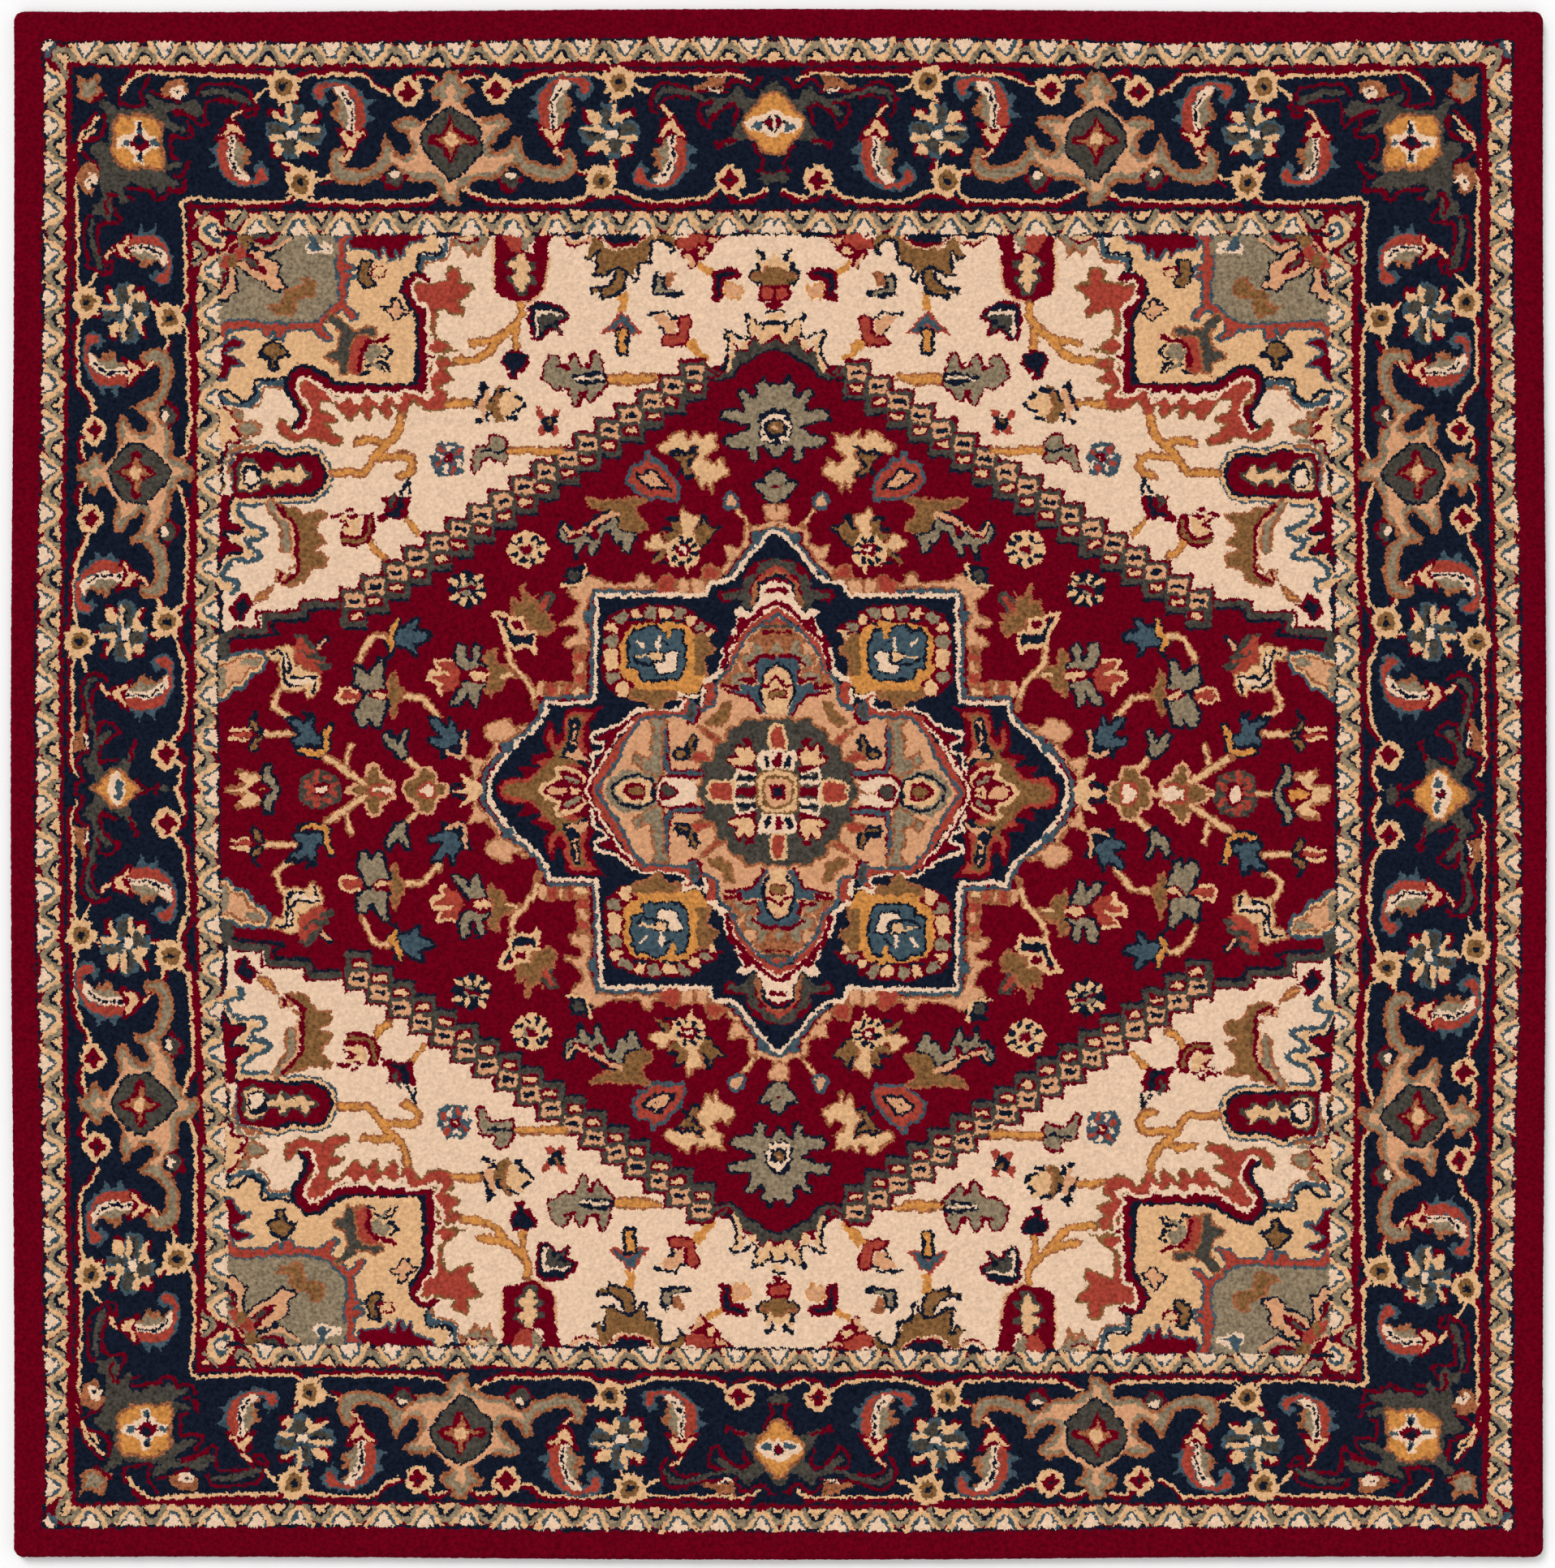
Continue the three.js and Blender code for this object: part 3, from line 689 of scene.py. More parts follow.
FIELD_TOP = """
slate -6,529 10,521 22,530 30,514 44,512 50,498 60,488 76,498 78,484 56,480 44,486 36,497 20,506 -6,517
navy 3 -6,516 14,510 26,502 38,496 46,484 58,479 76,480
crimson 3 -6,538 8,526 16,526 22,533 29,517 36,514 46,522 47,505 58,488 66,486 76,494 80,504 107,503
cream -6,560 6,558 8,553 -6,550
cream -6,548 6,544 8,538 14,545 22,552 28,554 26,545 27,532 24,530 20,536 17,531 15,524 8,523 5,529 -6,534
cream 27,531 29,527 27,517 34,516 37,519 36,524 42,528 48,534 54,535 53,529 49,526 49,512 52,500 56,492
 53,489 48,495 45,505 45,521 40,524 30,526
navy 4 -6,549 8,547 9,539
navy 3 9,543 20,551
navy 4 26,552 31,556 30,549
navy 3 27,545 28,538 26,532 32,528
navy 4 36,530 43,535
navy 4 47,537 54,538 56,532 51,528 52,512 54,500
navy 4 56,496 60,493
navy3<olive -6,617 5,613 10,606 14,609 22,607 24,601 17,596 12,598 10,592 -6,592
tan 4 2,616 12,606 22,603
navy 4,630 16,636 18,632 11,628 10,620 7,620 5,626
cream -6,632 4,622 10,617 12,624 14,630 16,624 13,610 9,608 5,614 -6,616
navy 5 16,618 16,610
crimson4>rust -6,592 13,592 15,582 15,574 5,571 -6,572
crimson -6,572 8,570 3,564 -6,564
navy 3 -6,563 7,560
navy3<sage -4,474 7,473 10,478 14,476 19,471 17,466 18,458 24,457 27,460 32,466 38,466 38,460 34,458
 32,451 32,442 37,441 44,443 59,441 60,434 45,432 40,429 29,428 26,425 27,422 36,416 43,413 54,412 57,407
 50,401 37,400 29,400 27,394 28,389 22,384 17,387 20,392 19,402 14,403 7,399 3,392 -4,388
navy -6,448 8,443 14,438 17,428 17,416 10,406 -6,402
ivory -6,442 6,438 11,432 15,428 13,421 15,417 12,413 8,415 11,423 8,430 -6,435
ivory -6,411 5,406 8,410 13,408 13,413 6,414 -6,406
olive -6,431 5,428 7,422 4,417 -6,418
peach -6,427 3,424 -6,421
navy 6,475 10,486 14,484 17,474 12,480
navy3<sage -4,373 7,368 10,362 14,358 23,358 18,352 12,344 6,338 -4,335
navy 3 10,358 16,362
crimson -6,358 4,354 -6,350
blue4<peach 44,330 45,338 50,345 54,342 57,336 56,330
tan3>cream 64,417 77,416 84,412 90,418 98,421 97,411 102,412 106,421 120,418 126,410 136,405 140,400
 134,391 128,391 120,394 113,393 106,392 99,395 93,400 91,391 100,378 93,369 91,360 86,348 82,349 79,356
 75,342 71,349 70,357 62,361 52,366 51,374 58,381 59,390 64,386 70,381 78,387 74,392 63,398 68,406
navy2<olive 92,393 100,393 108,390 120,391 112,384 108,378 105,370 100,364 94,367 98,372 103,378 104,385
 96,388
navy 4 90,401 96,396 104,392 114,397 122,392
navy 4 97,384 101,380
navy 5 108,374 114,368
navy 4 94,366 103,364
blue4>rust8>navy4>peach6>navy4>olive 110,348 113,361 120,369 128,378 134,385 143,388 146,396 153,394
 153,387 158,382 166,383 171,377 175,365 177,357 170,353 165,346 159,344 150,337 130,337 113,335
gold2<gold 138,485 150,484 165,485 182,483 194,484 194,476 180,475 165,476 150,479
tan 3 138,486 155,486 170,487 194,485
tan 3 138,480 160,474 176,474 194,475
crimson3<sage 199,487 201,495 204,505 208,511 212,510 214,500 215,495 222,492 228,495 231,505 235,508
 239,504 240,497 245,495 250,495 252,505 258,508 265,505 268,498 270,490 272,481 266,478 258,472 254,470
 246,471 240,468 238,460 234,450 230,452 227,460 222,466 219,460 215,455 210,461 203,468 197,475
crimson 213,502 222,499 222,492 214,493
crimson 4 241,493 254,496
navy 4.5 197,485 208,488 220,485 236,483
navy 4.5 197,480 206,477 220,476 234,480
ivory 3 201,483 212,481 222,481 235,480
crimson 219,467 228,467 229,460 224,463 219,460
rust 251,445 262,444 262,436 254,434
rust 279,447 281,438 275,431 268,436
rust 252,417 255,426 263,424 263,415 259,412
rust 268,426 275,425 279,417 273,413 265,418
navy 255,436 272,436 274,429 268,419 260,419 257,428
olive 3 262,434 266,428
olive 318,474 327,472 329,462 338,455 342,447 335,441 328,429 320,429 317,436 323,447 319,458
tan 3 322,471 327,460 324,446 321,433
cream 303,469 312,466 320,462 325,450 320,438 313,433 307,441 300,443 294,450 298,456 300,462
navy 5 311,469 322,467
navy 5 303,462 297,457
navy 5 293,451 299,444 307,441
navy 6 306,434 313,434
navy 335,470 344,480 349,471 347,464 352,458 357,450 355,443 350,446 349,452 343,460 340,468
navy 4 329,465 334,460 333,454
navy 4 335,440 341,440 337,432
navy 343,434 350,434 353,427 346,426
peach 336,466 340,469 343,462 346,456 350,450 352,446 346,442 347,436 345,433 340,442 338,452 335,460
navy 288,505 292,511 305,513 316,509 318,500 310,495 310,483 304,482 302,492 293,497
crimson 3 288,505 294,495 302,490 303,481 311,481 312,494 319,500
tan 11 357,452 370,453 385,451
gold 6 357,452 370,452 385,450
tan 11 254,396 270,394 292,397 312,396
gold 6 254,395 270,394 292,396 312,395
crimson3<sage 318,408 322,412 333,415 336,411 334,403 340,400 351,400 354,392 355,380 358,373 354,371
 350,375 346,382 342,386 335,387 330,384 325,384 318,382 315,388 318,396 316,402
navy 4 316,397 324,394 334,396 345,396
blue 366,392 369,401 378,406 388,404 393,406 400,401 401,394 406,391 405,380 403,370 395,364 386,367
 380,367 371,366 367,372 368,380 365,386
ivory 376,401 387,401 386,396 380,395
ivory 396,393 400,390 394,386 391,388
rust 391,400 397,402 397,396 391,392 389,396
rust 368,397 372,398 377,391 370,391
rust 394,385 401,382 399,375 392,380
rust 376,379 383,375 381,367 377,371
ivory 370,385 376,383 373,374 369,376
ivory 387,381 392,377 391,369 387,369
crimson 376,390 382,395 388,392 391,385 386,381 379,381
cream 382,389 386,386 383,383
tan 11 441,435 443,422 450,410 460,401 470,391 478,379 487,368 500,370 522,369
tan 11 462,405 475,409 493,406
tan 11 472,388 455,388 440,391 429,387 427,376 433,368 445,365
gold 6 441,435 443,422 450,410 460,401 470,391 478,379 487,368 500,370 520,369
gold 6 462,405 475,409 492,406
gold 6 472,388 455,388 440,390 430,386 428,376 434,368 443,366
"""
FIELD_RIGHT = """
tan 8 421,297 428,305 435,314
gold 5 421,297 428,305 434,312
tan 10 462,271 472,276 478,284 482,293
gold 6 464,272 472,276 478,284 481,290
crimson 430,342 433,326 437,314 446,314 453,316 462,312 472,312 470,319 463,324 462,334 466,342
navy 437,342 440,328 443,317 460,317 460,322 451,323 447,330 446,342
navy 4 431,346 432,362 442,346
slate 5 450,344 456,336 454,330
crimson 476,322 472,306 475,294 483,286 494,281 512,283 515,290 517,298 510,300 500,297 494,295 489,300
 486,308 487,320
olive 4 479,314 480,300 486,291 496,288 513,289
cream 488,316 496,316 500,311 504,315 508,319 513,318 508,310 510,304 514,299 504,297 496,294 490,300
crimson 488,319 496,322 506,317 500,314 496,316
crimson 5 500,325 505,325
crimson 5 510,321 523,319
crimson 3 514,314 506,311
crimson 502,306 507,311 511,306 520,299 514,302 508,303
tan3<olive 531,319 540,321 548,320 560,319 563,325 575,327 590,331 580,320 570,312 564,308 563,255 568,248
 584,238 568,237 559,242 554,251 549,257 532,259 531,267 535,272 546,276 546,282 532,285 536,290 545,300
 543,309
tan 14 597,333 588,318 579,306 579,280
sage 7 596,332 587,317 578,305 578,278
peach 4 589,323 580,314 571,308 570,290 570,268
crimson 5 588,330 580,321 572,313 566,306 565,290 566,270 564,257 569,248 584,239
tan 5 568,259 575,256
tan2>peach 572,250 580,252 592,255 594,240 584,241
crimson 5 585,249 588,244
tan4>gold 592,239 606,231 616,224 621,216 612,214 603,219 597,227
crimson 612,213 620,214 626,227 630,228 640,217 644,212 648,207 644,197 636,193 630,194 626,203 619,210
navy 622,212 628,220 634,218 642,210 637,201 636,194 632,195 630,203
navy 641,342 641,326 644,316 638,309 628,304 626,299 636,296 648,297 646,292 638,287 630,281 628,275
 632,271 650,272 653,264 658,258 662,256 662,342
crimson 645,342 645,328 647,318 643,311 632,304 630,301 640,300 652,302 653,294 645,290 636,282 631,278
 634,275 642,276 652,274 656,266 659,262 658,342
blue 6 608,331 622,331 635,331 636,325 632,318 620,308 605,302 603,297 611,292 620,291 624,286 623,281
 616,278 611,275 609,270 613,267 622,265 640,267 646,262 655,249 654,245 641,241 637,242 637,233 643,229
blue 4 626,293 629,291 626,288
cream 600,338 622,336 640,339 643,334 643,324 637,312 636,307 627,304 626,298 640,296 646,295 637,286
 628,278 630,272 650,272 652,264 660,250 660,240 657,232 642,231 641,239 657,243 658,250 652,259 646,266
 640,269 622,269 615,271 617,276 624,279 626,284 634,291 628,295 612,294 609,298 612,302 627,309 637,320
 638,326 636,333 615,333 600,334
"""
FIELD_LEFT = """
tan 9 -6,313 10,305 20,301 30,304 33,297 33,286 40,279 50,265 62,252 70,246
peach 5 -6,312 10,306 20,302 29,304 32,297 33,286 40,279 50,264 62,252
tan3<peach 1,332 9,331 10,322 6,314 -6,313
tan 6 28,305 36,317 42,324
cream 3 31,309 36,317 41,323
tan2<peach 37,282 46,280 59,282 57,273 53,267 46,267 41,274
tan4>rust 60,252 73,262 85,262 88,250 92,243 80,240 66,241
tan 80,244 118,244 118,225 80,225
peach 6 87,239 94,239
peach 84,241 98,241 98,227 84,227
peach 102,242 116,242 115,227 103,227
tan2<rust 120,245 124,248 132,244 140,238 141,225 119,225
tan3<peach 142,235 150,238 153,248 160,249 163,241 168,237 200,238 208,242 213,246 221,246 227,239 234,234
 245,231 240,223 232,221 231,211 236,203 244,196 252,190 234,190 230,182 236,177 246,172 248,165 236,162
 224,162 224,184 230,198 225,209 222,222 215,232 195,234
tan 224,165 240,165 240,122 276,123 284,118 285,106 262,105 224,106
rust 226,156 238,154 238,146 226,148
peach 7 230,142 232,134
rust 226,131 236,130 239,121 226,120
cream 6 230,111 238,109
rust 5 246,118 246,108
peach 4 257,118 257,110
rust 9 267,117 267,109
peach 8 279,117 280,108
navy3<olive 64,305 73,303 78,308 81,317 84,308 88,304 94,300 95,292 88,283 82,285 76,294 70,300
navy 4 84,320 88,308 94,302
tan3<cream 90,317 97,318 104,322 107,328 110,320 109,310 108,300 104,290 98,296 95,304 91,310
navy 6 114,314 124,316
olive 110,312 121,313 119,300 124,298 133,299 128,290 120,288 110,300
navy 120,307 133,305 134,301 120,299
tan2<cream 124,286 131,286 135,296 141,296 146,289 153,287 151,281 140,278 128,279
olive 127,278 134,277 148,263 146,260 128,271
navy 4 136,275 141,270
navy 4 125,262 134,262
cream 95,296 104,298 112,297 120,291 126,285 128,276 125,266 119,258 110,262 105,256 103,248 99,258 92,262
 87,269 88,282 92,290
navy 5 100,290 104,287
navy 5 93,284 98,282
navy 5 90,275 97,274
navy 5 100,268 101,263
navy 5 109,265 111,263
navy 6 117,268 119,266
navy 6 117,281 119,279
navy 5 111,293 110,287
crimson 6 103,282 112,280 112,274 103,274 101,279
ivory 5 104,277 109,279
tan3<olive 152,338 162,338 180,337 200,335 222,338 215,330 200,326 190,323 186,316 183,307 177,299 162,300
 153,303 152,309 162,316 165,330
navy 4 196,323 204,321 212,316 218,310 226,305
navy 232,300 238,302 242,310 252,314 258,308 257,292 250,286 238,284 240,270 236,264 232,267 232,280
navy3<sage 164,296 178,298 185,303 186,311 190,315 194,310 205,306 210,299 213,289 219,293 222,298 227,293
 236,291 246,292 250,299 252,306 256,303 253,294 248,287 237,286 237,276 233,274 230,281 226,286 218,286
 218,273 214,271 212,280 206,286 207,295 200,302 192,300 190,290 186,286 180,290 178,277 172,276 169,286
peach 6 186,320 194,319 202,315 210,310 215,309 218,302
peach 4 219,301 225,304
peach 5 228,300 236,299 243,296
peach 4 242,296 246,302 250,308
crimson 4 228,296 236,294 244,292
crimson 5 213,304 211,294
navy 226,259 248,258 246,252 250,246 247,242 256,235 250,233 238,238 229,240 219,250
slate 231,252 242,254 245,246 241,241 233,243
cream 4 224,260 223,254 227,249 227,243 229,238 238,236 252,236
slate4<rust 264,223 270,224 276,218 282,210 286,205 280,203 273,207
tan4>olive 262,184 261,190 266,195 262,202 278,205 281,212 283,221 278,229 287,221 293,226 297,240 302,234
 301,217 306,219 313,222 313,206 317,200 306,194 296,194 295,183 284,179 270,174 266,180
"""
FIELD_MIDDLE = """
navy 284,178 300,176 312,180 317,190 322,197 326,196 320,184 319,172 312,166 300,165 290,166 285,170
tan 9 317,162 316,150 312,141 303,132 294,122 288,112 287,102 284,92
cream 5 317,162 316,150 312,141 303,132 294,122 288,112 287,104
cream 5 285,173 286,158 289,162 298,164 308,163 318,168 321,180 326,190 332,200
cream 5 285,179 300,180 311,181 315,188 312,196 298,195 298,184
cream 5 312,196 320,201 333,202
crimson 300,192 306,192 308,184 300,184
tan4>olive 330,161 342,159 347,148 343,138 340,126 348,118 344,106 340,101 334,109 326,110 320,124 300,126
 320,142 330,144
cream 4 312,129 325,129
navy3<sage 343,140 354,145 350,154 349,162 354,166 358,160 358,150 362,146 367,150 368,164 377,167 379,152
 375,141 366,136 355,137
navy3<sage 346,119 352,122 364,123 370,121 373,113 380,104 386,95 379,94 370,101 364,111 362,97 356,92
 353,106
crimson 340,136 352,139 366,135 370,128 364,122 350,121 340,123
cream 339,130 348,133 358,134 363,131 361,126 350,123 342,125
rust 373,130 378,138 384,149 404,148 401,137 410,134 411,122 404,119 396,106 388,111 380,112 376,120
cream 4 384,147 395,147 404,147 402,141 399,138
cream 5 388,131 398,133 410,132 411,124 403,120 397,117 400,111 396,107
tan 10 400,80 412,94 420,103 442,104
cream 5 400,79 412,94 420,103 440,104
tan4>olive 452,138 457,131 461,124 460,114 464,106 461,98 461,90 455,78 449,84 449,94 440,104 444,116
 449,128
navy4<sage 464,146 468,147 472,140 478,134 480,126 486,132 492,138 498,138 497,126 500,121 488,112 478,110
 464,113 466,126
navy4<sage 461,98 466,97 476,102 484,108 490,100 498,84 494,70 488,68 481,79 476,68 470,70 468,80 464,90
crimson 460,113 476,113 484,107 476,100 462,99
cream 461,104 466,107 477,110 478,105 470,101 463,101
rust 490,106 497,110 518,111 519,101 502,100 494,100
cream 4 496,110 505,113 515,113 520,104
cream 4 500,98 512,97 521,101
navy3<blue 386,80 388,70 392,66 400,76 410,78 406,68 398,60 396,54 412,54 412,49 396,43 388,44 380,48
 376,54 382,68
navy 362,65 376,64 376,50 380,44 400,40 399,28 386,33 376,29 368,32 367,48
peach 5 369,61 371,52 370,36 376,33 384,35 391,38
navy4<sage 437,62 441,63 448,47 458,57 461,63 465,58 460,44 454,40 450,34 444,31 440,36 442,44
tan 9 418,14 430,22 437,28
cream 5 420,16 430,22 437,29
tan 8 440,-11 456,-11
cream 4 438,-11 456,-11
peach4<olive 394,-2 403,1 407,4 407,13 411,18 418,19 424,16 427,7 438,2 440,-6 438,-15 392,-15
rust 406,2 418,4 426,-2 428,-8 426,-15 403,-15 404,-6
ivory 407,-3 412,0 417,-1 421,-5 425,-8 422,-12 416,-15 407,-15
peach4<olive 456,0 460,3 469,7 472,13 474,21 480,22 484,15 487,6 492,-1 503,-4 510,-8 508,-15 456,-15
rust 4 458,-2 470,-1 481,-3 485,-10
ivory 455,-4 464,-3 474,-6 481,-5 482,-15 455,-15
navy4<blue 410,177 420,180 430,184 424,190 424,195 430,193 438,186 446,184 448,176 454,172 452,165 438,164
 427,155 428,168 413,172
navy2<gold 447,196 451,195 455,185 458,179 464,176 462,168 456,157 451,158 454,171 449,178
tan 9 463,176 474,176 482,170 488,161 494,146
cream 5 463,175 474,176 482,170 488,161 493,148
navy 5 454,154 460,151
slate 555,178 548,168 540,154 534,152 534,146 526,142 528,136 538,136 560,150 571,178
rust 545,157 558,165 560,176 568,174 570,160 569,146 556,136 548,132 534,133 546,143 536,147 556,153
slate 3 546,150 556,152 560,158
navy 8 532,173 541,165
peach 4 534,171 538,167 541,161
tan 9 586,116 592,106 596,92 586,84 577,81
cream 5 586,116 592,106 596,92 586,84 578,81
tan2<cream 571,162 580,165 592,161 604,158 600,150 593,146 587,148 588,128 586,113 572,111 558,113 554,103
 548,107 542,112 541,130 556,134 562,141 570,140
navy 4 596,156 588,158 583,154 582,134 583,124 578,118 562,116
navy 4 578,156 575,140 579,133 572,126 556,127 546,127
navy 5 547,120 549,110
ivory 4 580,152 579,142
ivory 5 550,123 562,122 570,120 577,124
navy4<blue 549,78 556,76 558,71 568,76 578,75 562,61 572,52 570,46 556,48 541,46 540,56 546,58 550,66
navy 5 549,84 555,82 559,85
navy 5 568,79 581,79
navy 11 529,69 534,58 534,42 540,37 552,36 565,39
gold 6 530,67 534,58 534,42 540,38 552,37 563,40
tan 9 574,60 588,59 610,60
cream 5 575,60 588,59 608,60
navy3<olive 611,62 617,72 621,75 624,70 616,62
navy3<olive 610,56 618,54 623,44 619,40 614,48
navy 5 615,85 623,77
rust 621,59 628,62 646,60 646,57 624,55
cream 5 627,65 647,65
cream 4 627,53 634,52 640,55 648,54
tan 8 505,46 508,36 511,20
cream 4 505,45 508,36 511,20
tan 11 535,31 525,26 505,12 488,1
cream 6 534,31 525,26 505,12 489,2
tan 7 508,-11.5 520,-11.5
cream 4 508,-11.5 520,-11.5
slate 516,-15 517,-6 519,4 523,11 531,14 540,17 550,16 559,13 565,8 566,-2 570,-9 569,-15
crimson 529,-15 529,-6 535,2 545,3 551,-2 553,-15
rust 7 524,0 529,-5
rust 4 530,9 538,6
rust 8 545,12 547,4
rust 7 556,4 557,-1
rust 5 557,-2 551,-5
rust 3 550,-11 563,-11
ivory 535,-4 541,-2 548,-4 549,-15 535,-15
tan 8 569,-12 588,-12
cream 4 567,-12 588,-12
navy4<sage 600,21 606,21 609,12 606,4 600,-1 596,-8 597,-15 590,-15 590,-5 595,3 601,12
tan 610,8 616,13 628,17 642,18 642,12 634,4 640,0 648,-1 655,-2 655,-15 625,-15 625,-6
cream 612,6 620,11 632,15 640,10 634,6 630,1 634,-3 646,-4 654,-7 652,-15 628,-15 625,-8 620,0
crimson4<gold 604,-7 608,-5 616,-6 624,-7 629,-10 629,-13 606,-15
blue4<cream3>tan3>peach 609,154 622,156 640,154 650,148 664,145 664,102 654,103 648,110 640,116 631,116
 628,124 622,132 612,134 606,148
sage 612,148 622,150 634,146 634,141 620,139 613,142
sage 652,138 664,140 664,108 652,110
slate 650,178 664,176 664,148 652,150 646,156
"""
MEDALLION = """
navy -6,306 14,290 36,266 66,242 80,240 80,223 214,223 214,98 272,98 290,66 320,38 338,16 345,4 347,-15
 -6,-15
ivory 5 -6,302 5,298 14,288 28,272 46,248 56,241 78,238 82,224 212,224 211,205 212,180 214,150 214,112
 216,98 250,96 272,97 273,88 278,76 292,61 304,53 322,33 335,15 341,4 342,-15
blue 4 -6,306 8,301 20,288 34,272 46,256 57,246
blue 13,298 24,299 26,294 24,285 18,284 12,292
blue 4.5 142,229 176,229 215,228 217,215 217,180 218,130 220,104 248,102 273,103 277,88 285,75 297,61
 312,52 328,35 341,19 348,5 349,-15
blue 218,206 226,205 227,196 219,190
blue 313,50 325,49 326,40 318,36 312,42
tan 8 297,69 318,62 332,52 333,42 344,28 354,16 358,6
peach 4 300,67 318,61 330,52 330,41 342,27 352,17 357,6
tan3<peach 304,63 313,66 319,75 327,75 342,68 345,59 342,54 326,50 314,57
tan2<peach 344,27 356,30 366,32 360,20 358,8 350,20
navy 4 362,4 378,0 388,-6
navy 4 366,-6 384,0
cream 350,-15 349,-4 356,3 364,8 376,13 375,7 367,1 367,-4 372,-6 384,-5 386,-10 384,-15
"""
TULIP = """
crimson 203,94 216,91 240,92 250,88 254,78 254,64 260,58 264,66 268,77 273,68 277,50 270,38 290,34 293,29
 276,19 307,22 300,9 316,9 326,6 331,-2 332,-15 226,-15 222,36 218,38 222,50 221,70 214,84
rust 216,86 240,86 248,82 252,70 251,56 258,47 263,48 266,66 270,66 272,50 263,38 264,32 284,28 280,20
 292,7 314,6 324,3 328,-4 328,-15 286,-15 262,10 230,24 226,40 229,54 228,70
olive 226,81 234,83 244,80 248,66 249,50 258,38 267,50 263,34 272,26 284,12 290,4 300,2 314,1 322,-3
 324,-15 262,-15 256,22 240,26 226,20 234,44 233,60
navy 231,72 236,79 241,79 245,74 247,50 254,38 256,30 240,30 224,18 228,34 236,46 234,64
peach 222,26 228,36 236,44 240,36 250,38 250,33 240,31 230,30
peach 3 238,73 240,67
peach 3 240,62 241,55
peach 3 238,48 243,51
crimson 231,-15 230,2 238,12 256,16 257,5 266,0 276,-4 281,-10 281,-15
cream 5 229,-4 228,6 234,13 246,18 260,20 262,16 258,8 268,2 277,-3 284,-10 284,-15
sage 6 237,2 249,9
cream 5 236,-7 243,-5 243,-15
peach 250,-15 250,-6 257,-3 267,-3 273,-7 275,-15
"""
SQUARE_FLOWER = """
crimson 66,180 76,192 92,196 96,206 108,212 150,213 166,211 196,201 204,190 206,150 207,134 205,120
 186,104 170,104 100,180
tan3<olive 80,176 98,176 97,128 83,129 86,150 74,157 74,162 82,164
tan3<olive 118,110 172,112 170,103 152,100 148,92 143,89 139,92 134,100 118,104
gold 96,175 100,184 107,190 118,193 135,193 163,190 175,186 181,176 185,160 182,146 186,138 180,126
 168,120 166,112 120,112 100,107 92,110 84,124 84,129 97,129
navy3<blue 110,172 112,180 120,183 124,177 130,176 142,188 150,187 158,181 168,182 173,174 174,160 172,150
 174,140 160,137 160,128 155,125 118,125 110,132 107,160
gold 6 125,186 126,176
navy2<ivory 115,156 120,158 131,155 128,148 134,143 143,142 140,132 128,132 120,136 118,146
navy2<cream 134,157 148,155 146,147 135,147
ivory 4 138,173 139,160
navy 3 126,166 134,172
cream 3 148,153 165,149
ivory 4 157,164 164,171
navy 3 146,142 160,142 168,150
navy 3 104,195 118,190
navy 4 122,196 136,193
navy 4 156,195 172,194
sage 104,206 110,211 117,210 121,200 118,194 110,196
cream 121,208 136,209 138,202 134,195 124,198
sage 139,210 150,211 156,207 154,197 144,195
cream 158,202 163,209 169,208 172,202 166,196 158,197
sage 173,200 178,205 192,198 188,190 180,192
cream 186,184 190,190 197,194 202,183 188,180
sage 185,172 190,178 198,177 205,170 198,162 188,162
cream 188,160 198,161 204,155 203,142 198,136 186,138
sage 184,132 202,133 204,126 198,120 190,120
cream 174,118 180,124 186,119 190,112 184,105 174,105
cream 93,198 99,201 106,197 103,188 95,189
sage 79,190 88,191 96,187 94,182 84,181
cream 71,184 80,182 84,176 80,172
"""
